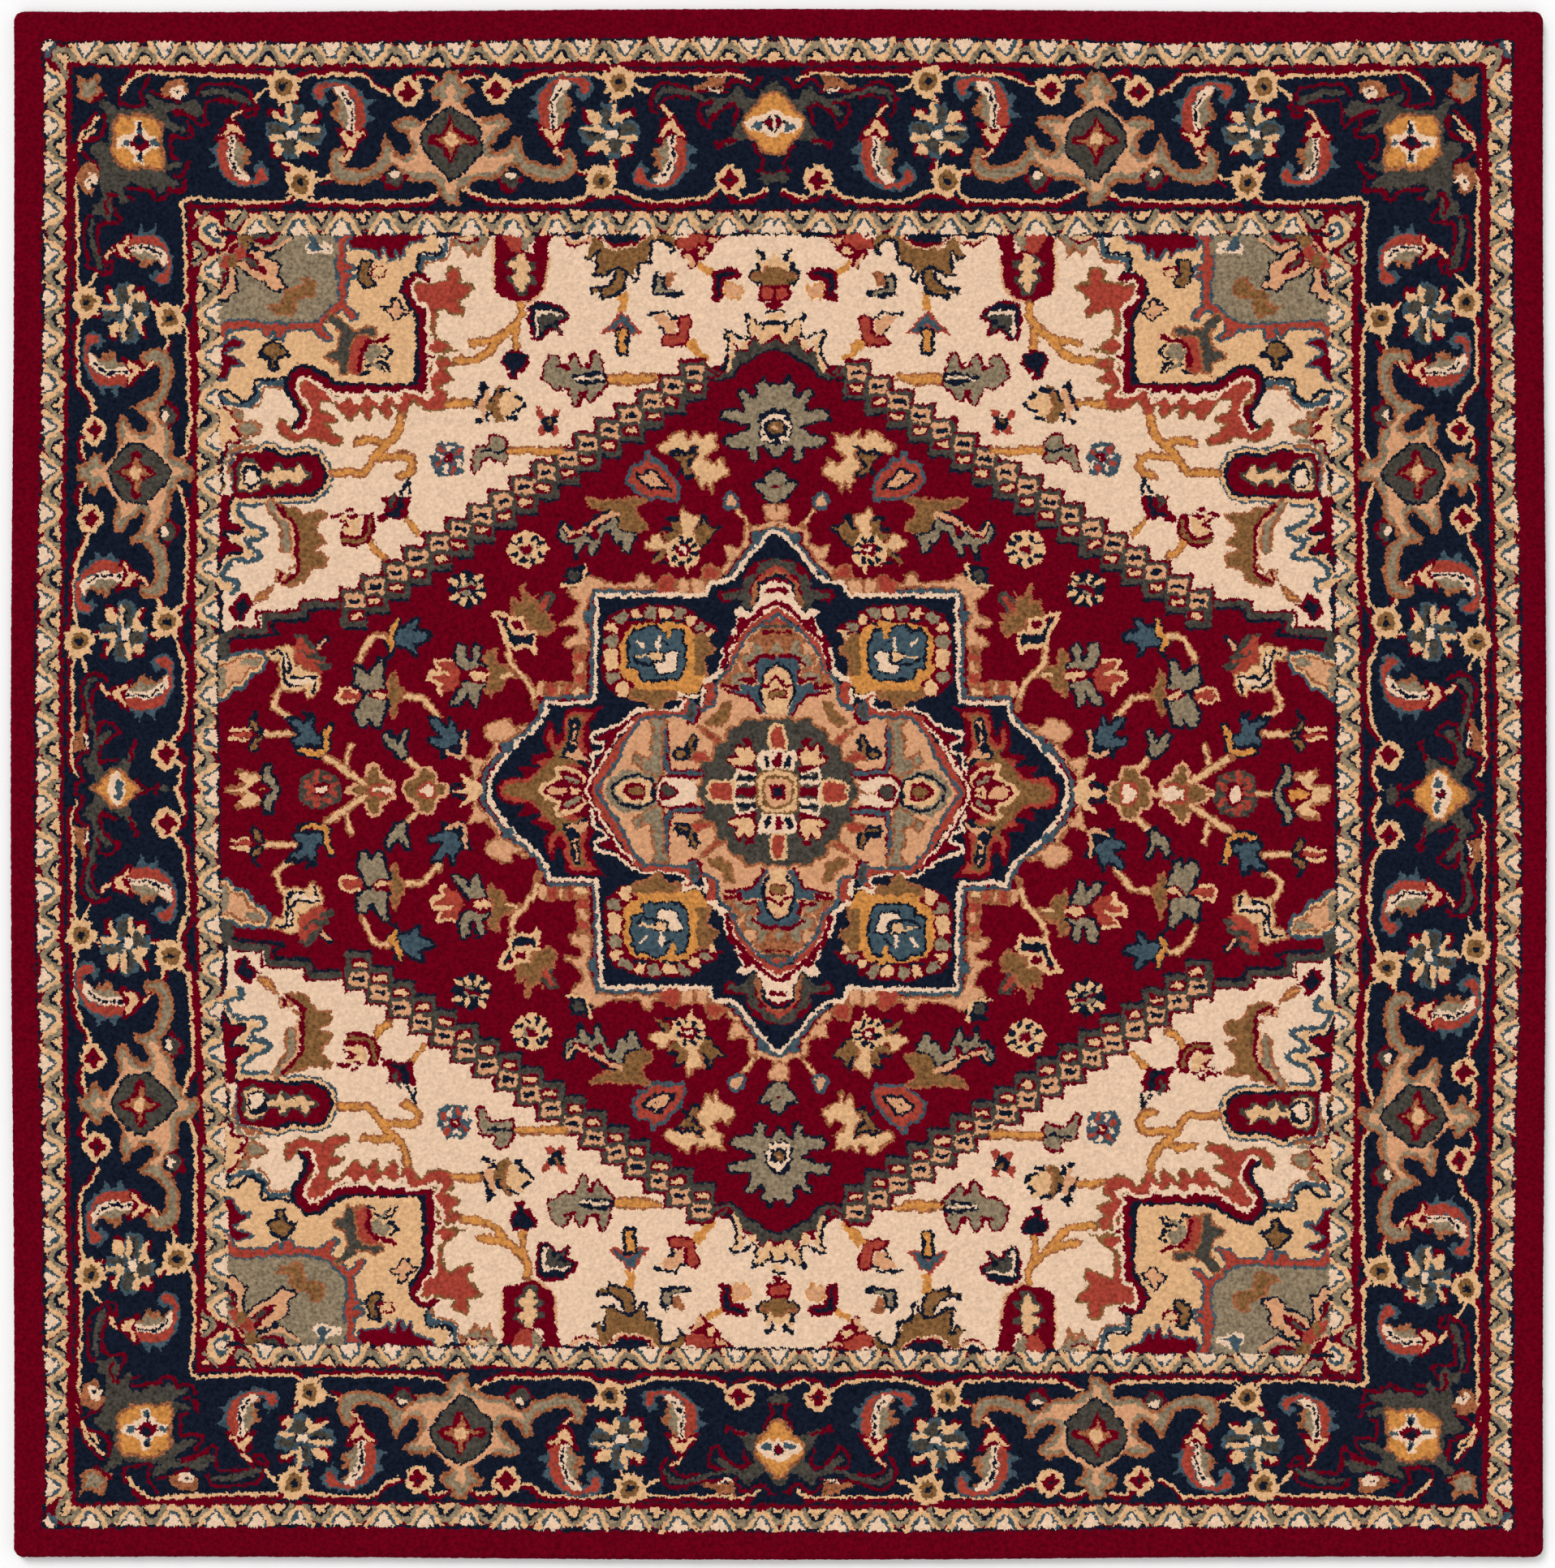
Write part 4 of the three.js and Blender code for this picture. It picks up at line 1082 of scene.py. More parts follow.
CARTOUCHE_RING = """
crimson -6,268 12,266 30,258 38,246 38,232 66,230 67,222 60,214 46,222 36,212 26,204 18,204 -6,250
slate -6,270 10,264 18,262 24,250 34,247 38,240 36,231 62,226 60,220 44,220 33,207 28,206 28,230 22,248
 -6,256
tan 8 -6,256 12,246 20,234 24,218 25,206
rust 5 -6,260 10,250 18,240
navy 4 -6,248 8,245 18,236 19,216 27,205
ivory -6,243 8,239 16,235 18,220 30,202 40,210 50,204 42,198 48,186 54,174 62,162 66,146 70,134 82,126
 94,121 90,117 74,121 62,134 58,142 50,160 -6,214
crimson 6 -6,231 8,230
crimson 6 -6,217 10,210 22,200 32,191 44,178 54,166 58,154 62,140
crimson 6 32,192 38,196 44,184
rust 6 -6,208 16,196 30,184 42,170 51,154 54,138 60,130
crimson 3 52,176 60,162
rust 73,120 88,119 82,113 83,97 88,91 98,98 113,107 114,102 104,93 107,83 145,81 158,84 176,68 190,46
 208,22 216,4 226,-6 228,-15 214,-15 204,2 190,30 170,62 158,78 110,79 86,88 73,96
ivory 5 85,112 87,95
ivory 4 92,106 101,104 113,108 117,104 108,98 112,91 122,88 140,85 150,88 164,89 176,80 192,69 204,64
 218,61 217,52 204,48 203,41 219,34 217,27 221,18 221,8 228,-4 228,-15
crimson 168,84 184,72 196,62 213,57 212,52 200,51 206,36 214,28 216,18 224,8 233,-6 240,-15 222,-15 214,10
 208,22 196,42 186,60 172,72
ivory 3 166,80 176,68 188,58 196,43 208,26 214,14 222,2 226,-6 226,-15
blue 4 -6,204 14,190 32,176 44,160 50,148 52,138 66,126 71,116 70,104 74,94 90,88
rust 6 105,95 108,86 120,84 145,83 157,84 168,76
blue 4 106,80 120,80 157,79 172,62 181,45 187,31 197,17 207,3 215,-7 219,-15
crimson 5 92,88 92,78 98,72 105,74
blue3>slate 95,97 101,101 105,92 105,84 110,79 99,73 93,82
"""
CARTOUCHE = """
peach -6,203 32,174 50,148 52,136 70,120 70,100 90,87 110,79 157,78 172,60 186,32 200,14 212,-4 216,-15
 -6,-15
tan -6,196 14,186 36,168 46,154 50,136 66,122 66,114 26,124 30,142 -6,152
rust 5 -6,196 12,190
slate 4 -6,187 14,186
crimson 3 -6,180 14,180
sage 18,168 26,170 26,156 38,150 40,142 32,138 28,148 14,156
sage 28,131 40,134 50,128 50,120 36,123
sage 6 -6,170 4,158
peach 28,166 36,170 42,157 30,154
peach 3 40,136 45,144 48,154
blue -6,153 18,152 26,140 24,126 20,118 42,120 43,112 58,111 32,106 20,90 16,82 10,84 18,98 20,110 12,134
 -6,146
navy 3.5 -6,147 10,137 15,128 18,114 18,104 10,90
cream -6,141 10,132 14,122 16,108 10,95 10,84 -6,82
crimson 4 -6,130 4,122 8,117 15,117
crimson2<olive -6,112 7,111 8,103 -6,102
crimson 5 3,151 18,152 22,147 32,143
crimson 4 24,136 25,122 43,125
crimson 5 46,118 46,114 62,117
crimson 4 18,83 22,92 32,105 48,108 60,111
tan2<olive 53,98 62,96 66,86 82,75 80,71 66,70 58,78
tan3<slate 4,77 12,79 22,74 30,78 38,77 42,69 56,64 59,49 72,47 74,29 88,26 92,16 86,8 88,1 94,-4 94,-15
 -6,-15 -6,77
tan3>rust 60,52 72,46 96,68 92,72 82,66 70,58
cream4<rust -6,41 6,44 7,54 4,68 -6,70
ivory -6,16 -6,41 10,40 20,40 24,33 20,24 18,16
navy 6,20 7,28 11,36 15,35 16,27 13,20
crimson -6,20 -6,36 3,36 4,28 2,20
crimson 6 30,50 36,52
crimson3<cream 26,30 27,38 33,47 38,39 46,46 50,41 45,31 57,31 57,27 46,22 30,22
crimson 6 26,17 42,16
ivory 4 27,12 38,14 46,17 50,4
navy 4.5 26,8 44,8
ivory 5 28,2 46,2
crimson 9 28,-8 44,-8
ivory 4 46,17 50,6 50,-15
cream4<rust 53,2 64,2 76,1 80,-3 78,-11 74,-15 55,-15
navy 92,52 96,60 102,60 110,44 118,46 124,38 122,29 108,28 94,38
olive 5 99,55 102,46 101,37
olive 5 109,36 117,35
tan2<rust 78,30 86,36 97,37 104,31 92,27
crimson 10 90,13 126,14 131,24 132,68
blue 5 90,13 127,14 131,24 132,68
sage 134,20 150,13 182,18 196,8 204,-4 208,-15 138,-15 138,8
crimson 4 96,8 112,9 128,12 138,7 145,0 146,-15
ivory 96,-15 96,3 104,6 122,9 134,7 140,1 144,-8 144,-15
tan 3 93,-10 114,-10
crimson3<slate 119,-10 123,-4 129,-1 136,-2 137,-10 136,-15 120,-15
tan3<sage 130,75 150,75 144,66 147,52 149,44 146,36 151,28 168,31 164,22 142,9 137,14 137,64
tan3<sage 162,34 166,36 170,26 162,24
navy 4 146,-8 149,5 158,8 165,11 176,10 186,6 193,-1 197,-9 197,-15
cream 149,-15 149,0 152,5 164,6 172,7 184,3 190,-4 194,-15
crimson 155,-15 156,-2 162,1 172,1 178,-2 183,-8 184,-15
olive 158,-15 158,-6 164,-3 172,-4 178,-8 180,-15
tan 4 186,34 194,20 202,9 210,-2
"""


def draw_rosette():
    """The rounded squares in the middle of the rug."""
    turn = np.linspace(0, 2 * math.pi, 41)
    across = np.sign(np.cos(turn)) * np.abs(np.cos(turn)) ** 0.5
    up = np.sign(np.sin(turn)) * np.abs(np.sin(turn)) ** 0.5
    for yarn, half in [("olive", 26), ("cream", 23), ("olive", 18.5), ("peach", 15), ("crimson", 9), ("navy", 5)]:
        fill(yarn, np.stack([half * across - 1, half * up * 1.06 - 9.5], 1))


def draw_cream_flower():
    """A round cream flower with navy petals, like the one nearer the middle."""
    fill("cream", petals(293, 279, 23, 22, 1.5))
    for x, y in [(284, 291), (300, 291), (278, 286), (277, 273), (286, 264), (298, 266), (308, 272)]:
        paint("navy 6 -2,-1 2,1", placed(x, y, turn=57 * math.atan2(y - 279, x - 293)))
    paint("navy 3 303,286 312,287\nsage 4 287,280 290,274 298,275 301,281\ncrimson 9 291,279 296,279")
    fill("navy", petals(365, 231, 22, 22, 2))
    for x, y in [(352, 246), (370, 244), (381, 240), (350, 236), (348, 226), (357, 219), (369, 218), (380, 221)]:
        paint("cream 6 -3,0 3,0", placed(x, y, turn=57 * math.atan2(y - 231, x - 365)))
    paint("sage 4 354,236 362,238 374,234\ncrimson 4 354,234 366,234 374,226\nsage 4 362,228 370,226")


def petals(x, y, across, up, lobe):
    """A round outline with eight lobes."""
    turn = np.linspace(0, 2 * math.pi, 33)
    out = 1 + lobe / across * np.cos(8 * turn)
    return np.stack([x + across * out * np.cos(turn), y + up * out * np.sin(turn)], 1)

def draw_quarter():
    paint(GROUNDS)
    draw_border()
    paint(TOP_SPRIGS)
    paint(CORNER_PIECE)
    paint(CORNER_SCROLL)
    paint(CORNER_FLOWER)
    paint(SIDE_OF_CORNER)
    paint(FIELD_EDGE)
    draw_chain()
    paint(FIELD_TOP)
    paint(FIELD_RIGHT)
    paint(FIELD_LEFT)
    paint(FIELD_MIDDLE)
    draw_cream_flower()
    paint(MEDALLION)
    paint(TULIP)
    paint(CARTOUCHE)
    paint(CARTOUCHE_RING)
    paint(SQUARE_FLOWER)
    draw_rosette()
    draw_guards()

# ---------------------------------------------------------------- the pile's net of triangles
SPACING = 2.4  # mm between the net's points, finer than one tuft
HALF_WIDTH, HALF_LENGTH = 911, 919
PILE_TOP = 14.6
CORNER_RADIUS = 12
ROLL = 7  # mm radius of the pile's rounded edge
WALL = 4.3
TUCK = 2
TUCKED_UNDER = 3.5
PAST_OUTLINE = ROLL * math.pi / 2 + WALL + TUCK * math.pi / 2 + TUCKED_UNDER - ROLL


def smooth_noise(x, y, size, seed):
    """Seeded noise from -1 to 1 that changes over `size` mm."""
    table = np.random.default_rng(seed).uniform(-1, 1, (512, 512))
    column, row = x / size + 200, y / size + 200
    i, j = np.floor(column).astype(int), np.floor(row).astype(int)
    u, v = column - i, row - j
    u, v = u * u * (3 - 2 * u), v * v * (3 - 2 * v)
    i, j = i % 511, j % 511
    low = table[j, i] * (1 - u) + table[j, i + 1] * u
    high = table[j + 1, i] * (1 - u) + table[j + 1, i + 1] * u
    return low * (1 - v) + high * v


def flat_net():
    """The net laid out flat: rows of points half a step apart, a little jittered, and its triangles."""
    row_step = SPACING * math.sqrt(3) / 2
    reach_x, reach_y = HALF_WIDTH + PAST_OUTLINE, HALF_LENGTH + PAST_OUTLINE
    columns, rows = int(2 * reach_x / SPACING) + 1, int(2 * reach_y / row_step) + 1
    i, j = np.meshgrid(np.arange(columns), np.arange(rows))
    x = (i - (columns - 1) / 2 + (j % 2) * 0.5 - 0.25) * SPACING
    y = (j - (rows - 1) / 2) * row_step
    jitter = np.random.default_rng(4).uniform(-0.28, 0.28, (2, rows, columns)) * SPACING
    points = np.stack([x + jitter[0], y + jitter[1]], -1).reshape(-1, 2)
    corner = (j * columns + i)[:-1, :-1]
    right, above, across = corner + 1, corner + columns, corner + columns + 1
    odd = (j[:-1, :-1] % 2 == 1)
    first = np.where(odd[..., None], np.stack([corner, right, across], -1), np.stack([corner, right, above], -1))
    second = np.where(odd[..., None], np.stack([corner, across, above], -1), np.stack([right, across, above], -1))
    return points, np.concatenate([first.reshape(-1, 3), second.reshape(-1, 3)])


def past_roll_start(points):
    """How far each point lies past the line where the edge starts to roll, and the way out there."""
    radius = CORNER_RADIUS - ROLL
    core = np.array([HALF_WIDTH, HALF_LENGTH]) - CORNER_RADIUS
    beyond = np.abs(points) - core
    outside = np.maximum(beyond, 0)
    length = np.hypot(outside[:, 0], outside[:, 1])
    past = length + np.minimum(beyond.max(1), 0) - radius
    way = outside / np.maximum(length, 1e-9)[:, None] * np.sign(points)
    return past, way


def edge_profile(past):
    """Where the net runs at the edge: out, down, and the angle it has turned by."""
    roll = np.clip(past / ROLL, 0, math.pi / 2)
    past = past - ROLL * math.pi / 2
    wall = np.clip(past, 0, WALL)
    past = past - WALL
    tuck = np.clip(past / TUCK, 0, math.pi / 2)
    under = np.clip(past - TUCK * math.pi / 2, 0, TUCKED_UNDER)
    out = ROLL * np.sin(roll) - TUCK * (1 - np.cos(tuck)) - under
    down = ROLL * (1 - np.cos(roll)) + wall + TUCK * np.sin(tuck)
    return out, down, roll + tuck


def folded(x, y):
    """The place in the drawn quarter that each place on the rug repeats. The lines that the pattern is
    mirrored about run a little off the middle, and straighten out towards the rug's edges."""
    fold_x = (-1 - 0.006 * np.maximum(y, -200)) * np.interp(np.abs(x), [700, 900], [1, 0])
    fold_y = (-9 - 0.005 * x) * np.interp(np.abs(y), [680, 740, 860, 919], [1, 0.45, 0.1, 0])
    return np.abs(x - fold_x) + fold_x, np.abs(y - fold_y) + fold_y


def yarn_at(x, y):
    """The yarn drawn at each place, as its number in YARNS."""
    across, up = folded(x, y)
    column = ((across - QUARTER_START) / DRAWING_STEP).astype(int)
    row = ((up - QUARTER_START) / DRAWING_STEP).astype(int)
    return design[np.clip(row, 0, len(design) - 1), np.clip(column, 0, len(design) - 1)]


def tufted(x, y):
    """The place in the drawing that each place on the rug shows: tufts stray a little from the lines."""
    stray_x = 2.0 * smooth_noise(x, y, 3.5, 11) + 1.3 * smooth_noise(x, y, 8, 12)
    stray_y = 2.0 * smooth_noise(x, y, 3.5, 13) + 1.3 * smooth_noise(x, y, 8, 14)
    return x + stray_x, y + stray_y


def boundary_share(x, y):
    """From 0 inside one yarn to 1 on the line where two yarns meet."""
    here = yarn_at(*tufted(x, y))
    differs = np.zeros(x.shape)
    for dx, dy in [(2, 0), (-2, 0), (0, 2), (0, -2)]:
        differs += yarn_at(*tufted(x + dx, y + dy)) != here
    return np.minimum(differs / 2, 1)


def raised(points):
    """The net's points in space, in mm: the pile's top with its tufts, and the rolled edge."""
    x, y = points.T
    past, way = past_roll_start(points)
    out, down, turned = edge_profile(past)
    tufts = np.random.default_rng(5).uniform(-0.4, 0.4, len(x)) + 0.25 * smooth_noise(x, y, 7, 21)
    swell = 0.5 * smooth_noise(x, y, 90, 22) + 0.4 * smooth_noise(x, y, 260, 23)
    height = tufts - 0.35 * boundary_share(x, y) + swell * (turned < 0.1)
    height *= np.where(turned > math.pi / 2, 0.2, 1)
    outwards = np.where(past > 0, out - past, 0) + height * np.sin(turned)
    flat = points + way * outwards[:, None]
    flat += wavy_outline(flat)
    return np.column_stack([flat, PILE_TOP - down + height * np.cos(turned)])


def wavy_outline(flat):
    """A laid rug's sides aren't ruler-straight: a few mm in and out along them."""
    x, y = flat.T
    near_side = np.clip((np.abs(x) - 700) / 200, 0, 1) ** 2 * np.sign(x)
    near_end = np.clip((np.abs(y) - 700) / 200, 0, 1) ** 2 * np.sign(y)
    side = 2.2 * np.cos(y / 240) - 1.2
    end = 1.8 * np.cos(x / 230)
    return np.column_stack([near_side * side, near_end * end])


# ---------------------------------------------------------------- pieces of pile
# The long areas are cut again, so that no piece is too big for a sharp surface.
CUTS = {
    "pile_edge_band": [0],
    "pile_outer_guard": [-455, 0, 455],
    "pile_main_border": [-455, 0, 455],
    "pile_inner_guard": [-220, 220],
    "pile_spandrel": [-380, 380],
    "pile_field": [-380, 380],
    "pile_medallion": [],
    "pile_cartouche": [0],
}
AREA_STEP = 2.0  # mm between samples of the map of areas


def top_triangles(node):
    """The upward faces of a CAD solid, as flat triangles in mm."""
    mesh = bpy.data.objects[node].data
    mesh.calc_loop_triangles()
    places = np.array([v.co[:] for v in mesh.vertices]) / MM
    for triangle in mesh.loop_triangles:
        if triangle.normal.z > 0.9:
            yield places[list(triangle.vertices)][:, :2]


def map_of_areas(nodes):
    """A grid over the rug with the number of the CAD node whose pile is there, and -1 elsewhere."""
    columns, rows = int(2 * HALF_WIDTH / AREA_STEP), int(2 * HALF_LENGTH / AREA_STEP)
    across = (np.arange(columns) + 0.5) * AREA_STEP - HALF_WIDTH
    up = (np.arange(rows) + 0.5) * AREA_STEP - HALF_LENGTH
    areas = np.full((rows, columns), -1)
    for number, node in enumerate(nodes):
        for triangle in top_triangles(node):
            low, high = triangle.min(0) - 1, triangle.max(0) + 1
            i = slice(*np.searchsorted(across, [low[0], high[0]]))
            j = slice(*np.searchsorted(up, [low[1], high[1]]))
            x, y = np.meshgrid(across[i], up[j])
            areas[j, i][covers(triangle, x, y)] = number
    return areas


def covers(triangle, x, y):
    """True inside a triangle and up to 0.3 mm outside it, so that neighbours leave no gap."""
    sides = []
    for (x0, y0), (x1, y1) in zip(triangle, np.roll(triangle, -1, axis=0)):
        length = math.hypot(x1 - x0, y1 - y0)
        sides.append(((x1 - x0) * (y - y0) - (y1 - y0) * (x - x0)) / max(length, 1e-9))
    sides = np.array(sides)
    return (sides > -0.3).all(0) | (sides < 0.3).all(0)


def group_of(node):
    """The medallion's quarters are joined into an east and a west half. Other nodes stand alone."""
    return node[:-2] + node[-1] if node.startswith("pile_medallion") else node


def cut_up(middles, nodes):
    """Each triangle's node, by the area it lies in, and its stretch between that area's cuts."""
    x = np.clip(middles[:, 0], 1 - HALF_WIDTH, HALF_WIDTH - 1)
    y = np.clip(middles[:, 1], 1 - HALF_LENGTH, HALF_LENGTH - 1)
    column = ((x + HALF_WIDTH) / AREA_STEP).astype(int)
    row = ((y + HALF_LENGTH) / AREA_STEP).astype(int)
    node = map_of_areas(nodes)[row, column]
    stretch = np.zeros(len(middles), int)
    for number, name in enumerate(nodes):
        cuts = next(places for prefix, places in CUTS.items() if name.startswith(prefix))
        along = y if name.endswith(("_east", "_west")) else x
        stretch[node == number] = np.searchsorted(cuts, along[node == number])
    return node, stretch

# ---------------------------------------------------------------- materials
# Each yarn's colour, as the screen's red, green and blue from 0 to 255, and how heathered it is.
WOOL = {
    "crimson": (99, 2, 22, 0.45),
    "navy": (19, 25, 39, 0.60),
    "ivory": (224, 191, 162, 0.20),
    "cream": (213, 168, 123, 0.28),
    "sage": (133, 117, 94, 0.60),
    "slate": (67, 63, 56, 0.70),
    "gold": (196, 131, 66, 0.45),
    "rust": (155, 61, 48, 0.50),
    "tan": (149, 90, 59, 0.70),
    "peach": (204, 149, 110, 0.30),
    "blue": (62, 79, 88, 0.50),
    "olive": (123, 86, 51, 0.65),
}


def linear(*screen):
    """A screen colour as the light it stands for."""
    shares = [c / 255 for c in screen]
    return [s / 12.92 if s <= 0.04045 else ((s + 0.055) / 1.055) ** 2.4 for s in shares] + [1]


def new_material(name):
    """A material with its tree of nodes, its shader and a function that adds a node to it."""
    material = bpy.data.materials.new(name)
    material.use_nodes = True
    tree = material.node_tree
    shader = tree.nodes["Principled BSDF"]

    def add(kind, inputs=None, **settings):
        node = tree.nodes.new(kind)
        for key, value in settings.items():
            setattr(node, key, value)
        for key, value in (inputs or {}).items():
            if isinstance(value, bpy.types.NodeSocket):
                tree.links.new(value, node.inputs[key])
            else:
                node.inputs[key].default_value = value
        return node

    return material, tree, shader, add


def steps_ramp(add, factor, colours):
    """A colour ramp that jumps from one colour to the next in equal steps."""
    ramp = add("ShaderNodeValToRGB", {"Fac": factor})
    ramp.color_ramp.interpolation = "CONSTANT"
    stops = ramp.color_ramp.elements
    stops[0].color = colours[0]
    stops[1].position = 1 / len(colours)
    stops[1].color = colours[1]
    for number, colour in enumerate(colours[2:], 2):
        stops.new(number / len(colours)).color = colour
    return ramp.outputs["Color"]


def grain(add, place, size, detail):
    """Noise round 0 with features `size` mm wide."""
    noise = add("ShaderNodeTexNoise", {"Vector": place, "Scale": 1000 / size, "Detail": detail})
    return add("ShaderNodeMath", {0: noise.outputs["Fac"], 1: 0.5}, operation="SUBTRACT").outputs[0]


def make_wool():
    """Cut wool pile: the yarn's colour, heathered tuft by tuft, with a soft nap."""
    material, tree, shader, add = new_material("wool_pile")
    yarn = add("ShaderNodeAttribute", attribute_name="yarn").outputs["Fac"]
    place = add("ShaderNodeTexCoord").outputs["Object"]
    colour = steps_ramp(add, yarn, [linear(*WOOL[name][:3]) for name in YARNS])
    heather = steps_ramp(add, yarn, [[WOOL[name][3]] * 3 + [1] for name in YARNS])
    tuft = grain(add, place, 4, 1)
    fibre = grain(add, place, 1.4, 2)
    speck = add("ShaderNodeMath", {0: tuft, 1: 3.0, 2: fibre}, operation="MULTIPLY_ADD").outputs[0]
    amount = add("ShaderNodeMath", {0: speck, 1: heather}, operation="MULTIPLY").outputs[0]
    gain = add("ShaderNodeMath", {0: amount, 1: 1.0}, operation="ADD").outputs[0]
    tinted = add("ShaderNodeVectorMath", {0: colour, "Scale": gain}, operation="SCALE").outputs[0]
    tree.links.new(tinted, shader.inputs["Base Color"])
    bump = add("ShaderNodeBump", {"Height": speck, "Strength": 0.5, "Distance": 0.0006})
    tree.links.new(bump.outputs["Normal"], shader.inputs["Normal"])
    shader.inputs["Roughness"].default_value = 0.95
    shader.inputs["Specular IOR Level"].default_value = 0.0
    shader.inputs["Sheen Weight"].default_value = 0.02
    shader.inputs["Sheen Roughness"].default_value = 0.3
    return material


def make_weave(name, screen, pitch, herringbone):
    """Woven cotton, `pitch` mm from thread to thread: a plain weave or a herringbone twill, with slubs, and
    painted shade that darkens the dips between the threads.
    """
    material, tree, shader, add = new_material(name)

    def maths(operation, first, second):
        return add("ShaderNodeMath", {0: first, 1: second}, operation=operation).outputs[0]

    place = add("ShaderNodeAttribute", attribute_name="weave").outputs["Vector"]
    axes = add("ShaderNodeSeparateXYZ", {0: place}).outputs
    if herringbone:
        leaning = maths("PINGPONG", axes[1], 4.2)
        threads = maths("SINE", maths("MULTIPLY", maths("ADD", axes[0], leaning), math.tau / pitch), 0.0)
    else:
        warp = maths("SINE", maths("MULTIPLY", axes[0], math.pi / pitch), 0.0)
        weft = maths("SINE", maths("MULTIPLY", axes[1], math.pi / pitch), 0.0)
        threads = maths("MULTIPLY", warp, weft)
    relief = maths("ABSOLUTE", threads, 0.0)
    slub = grain(add, place, 9000, 3)
    fibre = grain(add, place, 900, 2)
    shade = add("ShaderNodeMath", {0: slub, 1: 0.5, 2: 0.75}, operation="MULTIPLY_ADD").outputs[0]
    shade = add("ShaderNodeMath", {0: fibre, 1: 0.4, 2: shade}, operation="MULTIPLY_ADD").outputs[0]
    # Painted shade: the threads' relief also darkens the colour in the dips between threads and lightens their
    # crowns.
    shade = add("ShaderNodeMath", {0: relief, 1: 0.35, 2: shade}, operation="MULTIPLY_ADD").outputs[0]
    tinted = add("ShaderNodeVectorMath", {0: linear(*screen)[:3], "Scale": shade}, operation="SCALE")
    tree.links.new(tinted.outputs[0], shader.inputs["Base Color"])
    bump = add("ShaderNodeBump", {"Height": relief, "Strength": 0.7, "Distance": 0.0004})
    tree.links.new(bump.outputs["Normal"], shader.inputs["Normal"])
    shader.inputs["Roughness"].default_value = 0.9
    return material


def make_thread():
    """Twisted cotton sewing thread."""
    material, tree, shader, add = new_material("sewing_thread")
    place = add("ShaderNodeTexCoord").outputs["Object"]
    ply = grain(add, place, 0.8, 2)
    shade = add("ShaderNodeMath", {0: ply, 1: 0.8, 2: 1.0}, operation="MULTIPLY_ADD").outputs[0]
    tinted = add("ShaderNodeVectorMath", {0: linear(232, 224, 205)[:3], "Scale": shade}, operation="SCALE")
    tree.links.new(tinted.outputs[0], shader.inputs["Base Color"])
    shader.inputs["Roughness"].default_value = 0.8
    return material


def make_latex():
    """The dried latex that locks the tufts, yellowed and blotchy."""
    material, tree, shader, add = new_material("latex")
    place = add("ShaderNodeTexCoord").outputs["Object"]
    blotch = grain(add, place, 40, 4)
    shade = add("ShaderNodeMath", {0: blotch, 1: 0.6, 2: 0.95}, operation="MULTIPLY_ADD").outputs[0]
    tinted = add("ShaderNodeVectorMath", {0: linear(206, 190, 148)[:3], "Scale": shade}, operation="SCALE")
    tree.links.new(tinted.outputs[0], shader.inputs["Base Color"])
    bump = add("ShaderNodeBump", {"Height": blotch, "Strength": 0.4, "Distance": 0.002})
    tree.links.new(bump.outputs["Normal"], shader.inputs["Normal"])
    shader.inputs["Roughness"].default_value = 0.55
    return material

def make_piece(name, points, triangles, yarns):
    """One piece of pile, from its triangles of the net, with each triangle's yarn."""
    used, corners = np.unique(triangles, return_inverse=True)
    mesh = bpy.data.meshes.new(name)
    mesh.vertices.add(len(used))
    mesh.vertices.foreach_set("co", (points[used] * MM).astype(np.float32).ravel())
    mesh.loops.add(corners.size)
    mesh.loops.foreach_set("vertex_index", corners.ravel().astype(np.int32))
    mesh.polygons.add(len(triangles))
    mesh.polygons.foreach_set("loop_start", np.arange(0, corners.size, 3, dtype=np.int32))
    mesh.update(calc_edges=True)
    mesh.shade_smooth()
    yarn = mesh.attributes.new("yarn", "FLOAT", "FACE")
    yarn.data.foreach_set("value", ((yarns + 0.5) / len(YARNS)).astype(np.float32))
    piece = bpy.data.objects.new(name, mesh)
    bpy.context.scene.collection.objects.link(piece)
    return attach(piece, "root")


def build_pile(wool):
    """Cuts the net along the CAD model's areas and makes every piece of it."""
    nodes = sorted(o.name for o in bpy.data.objects if o.name.startswith("pile_"))
    groups = sorted({group_of(name) for name in nodes})
    flat, triangles = flat_net()
    past = past_roll_start(flat)[0]
    triangles = triangles[(past[triangles] < PAST_OUTLINE + ROLL).any(1)]
    middles = flat[triangles].mean(1)
    yarns = yarn_at(*tufted(*middles.T))
    points = raised(flat)
    node, stretch = cut_up(middles, nodes)
    group = np.array([groups.index(group_of(name)) for name in nodes])[node]
    for number, name in enumerate(groups):
        for part in np.unique(stretch[group == number]):
            chosen = (group == number) & (stretch == part)
            piece = make_piece(f"{name}_tufts_{part + 1}", points, triangles[chosen], yarns[chosen])
            piece.data.materials.append(wool)
            stood_for = [node for node in nodes if group_of(node) == name]
            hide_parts(*stood_for)

# ---------------------------------------------------------------- the backing: cloth, canvas and tape
CANVAS_INSET = 38  # mm in from the rug's sides
TAPE_INSET, TAPE_WIDTH = 5, 34
CLOTH_INSET, CLOTH_TOP, CLOTH_FOLD, HEM = 2, 3.9, 1.15, 28
CANVAS_HEIGHT, TAPE_HEIGHT = 0.75, 0.45


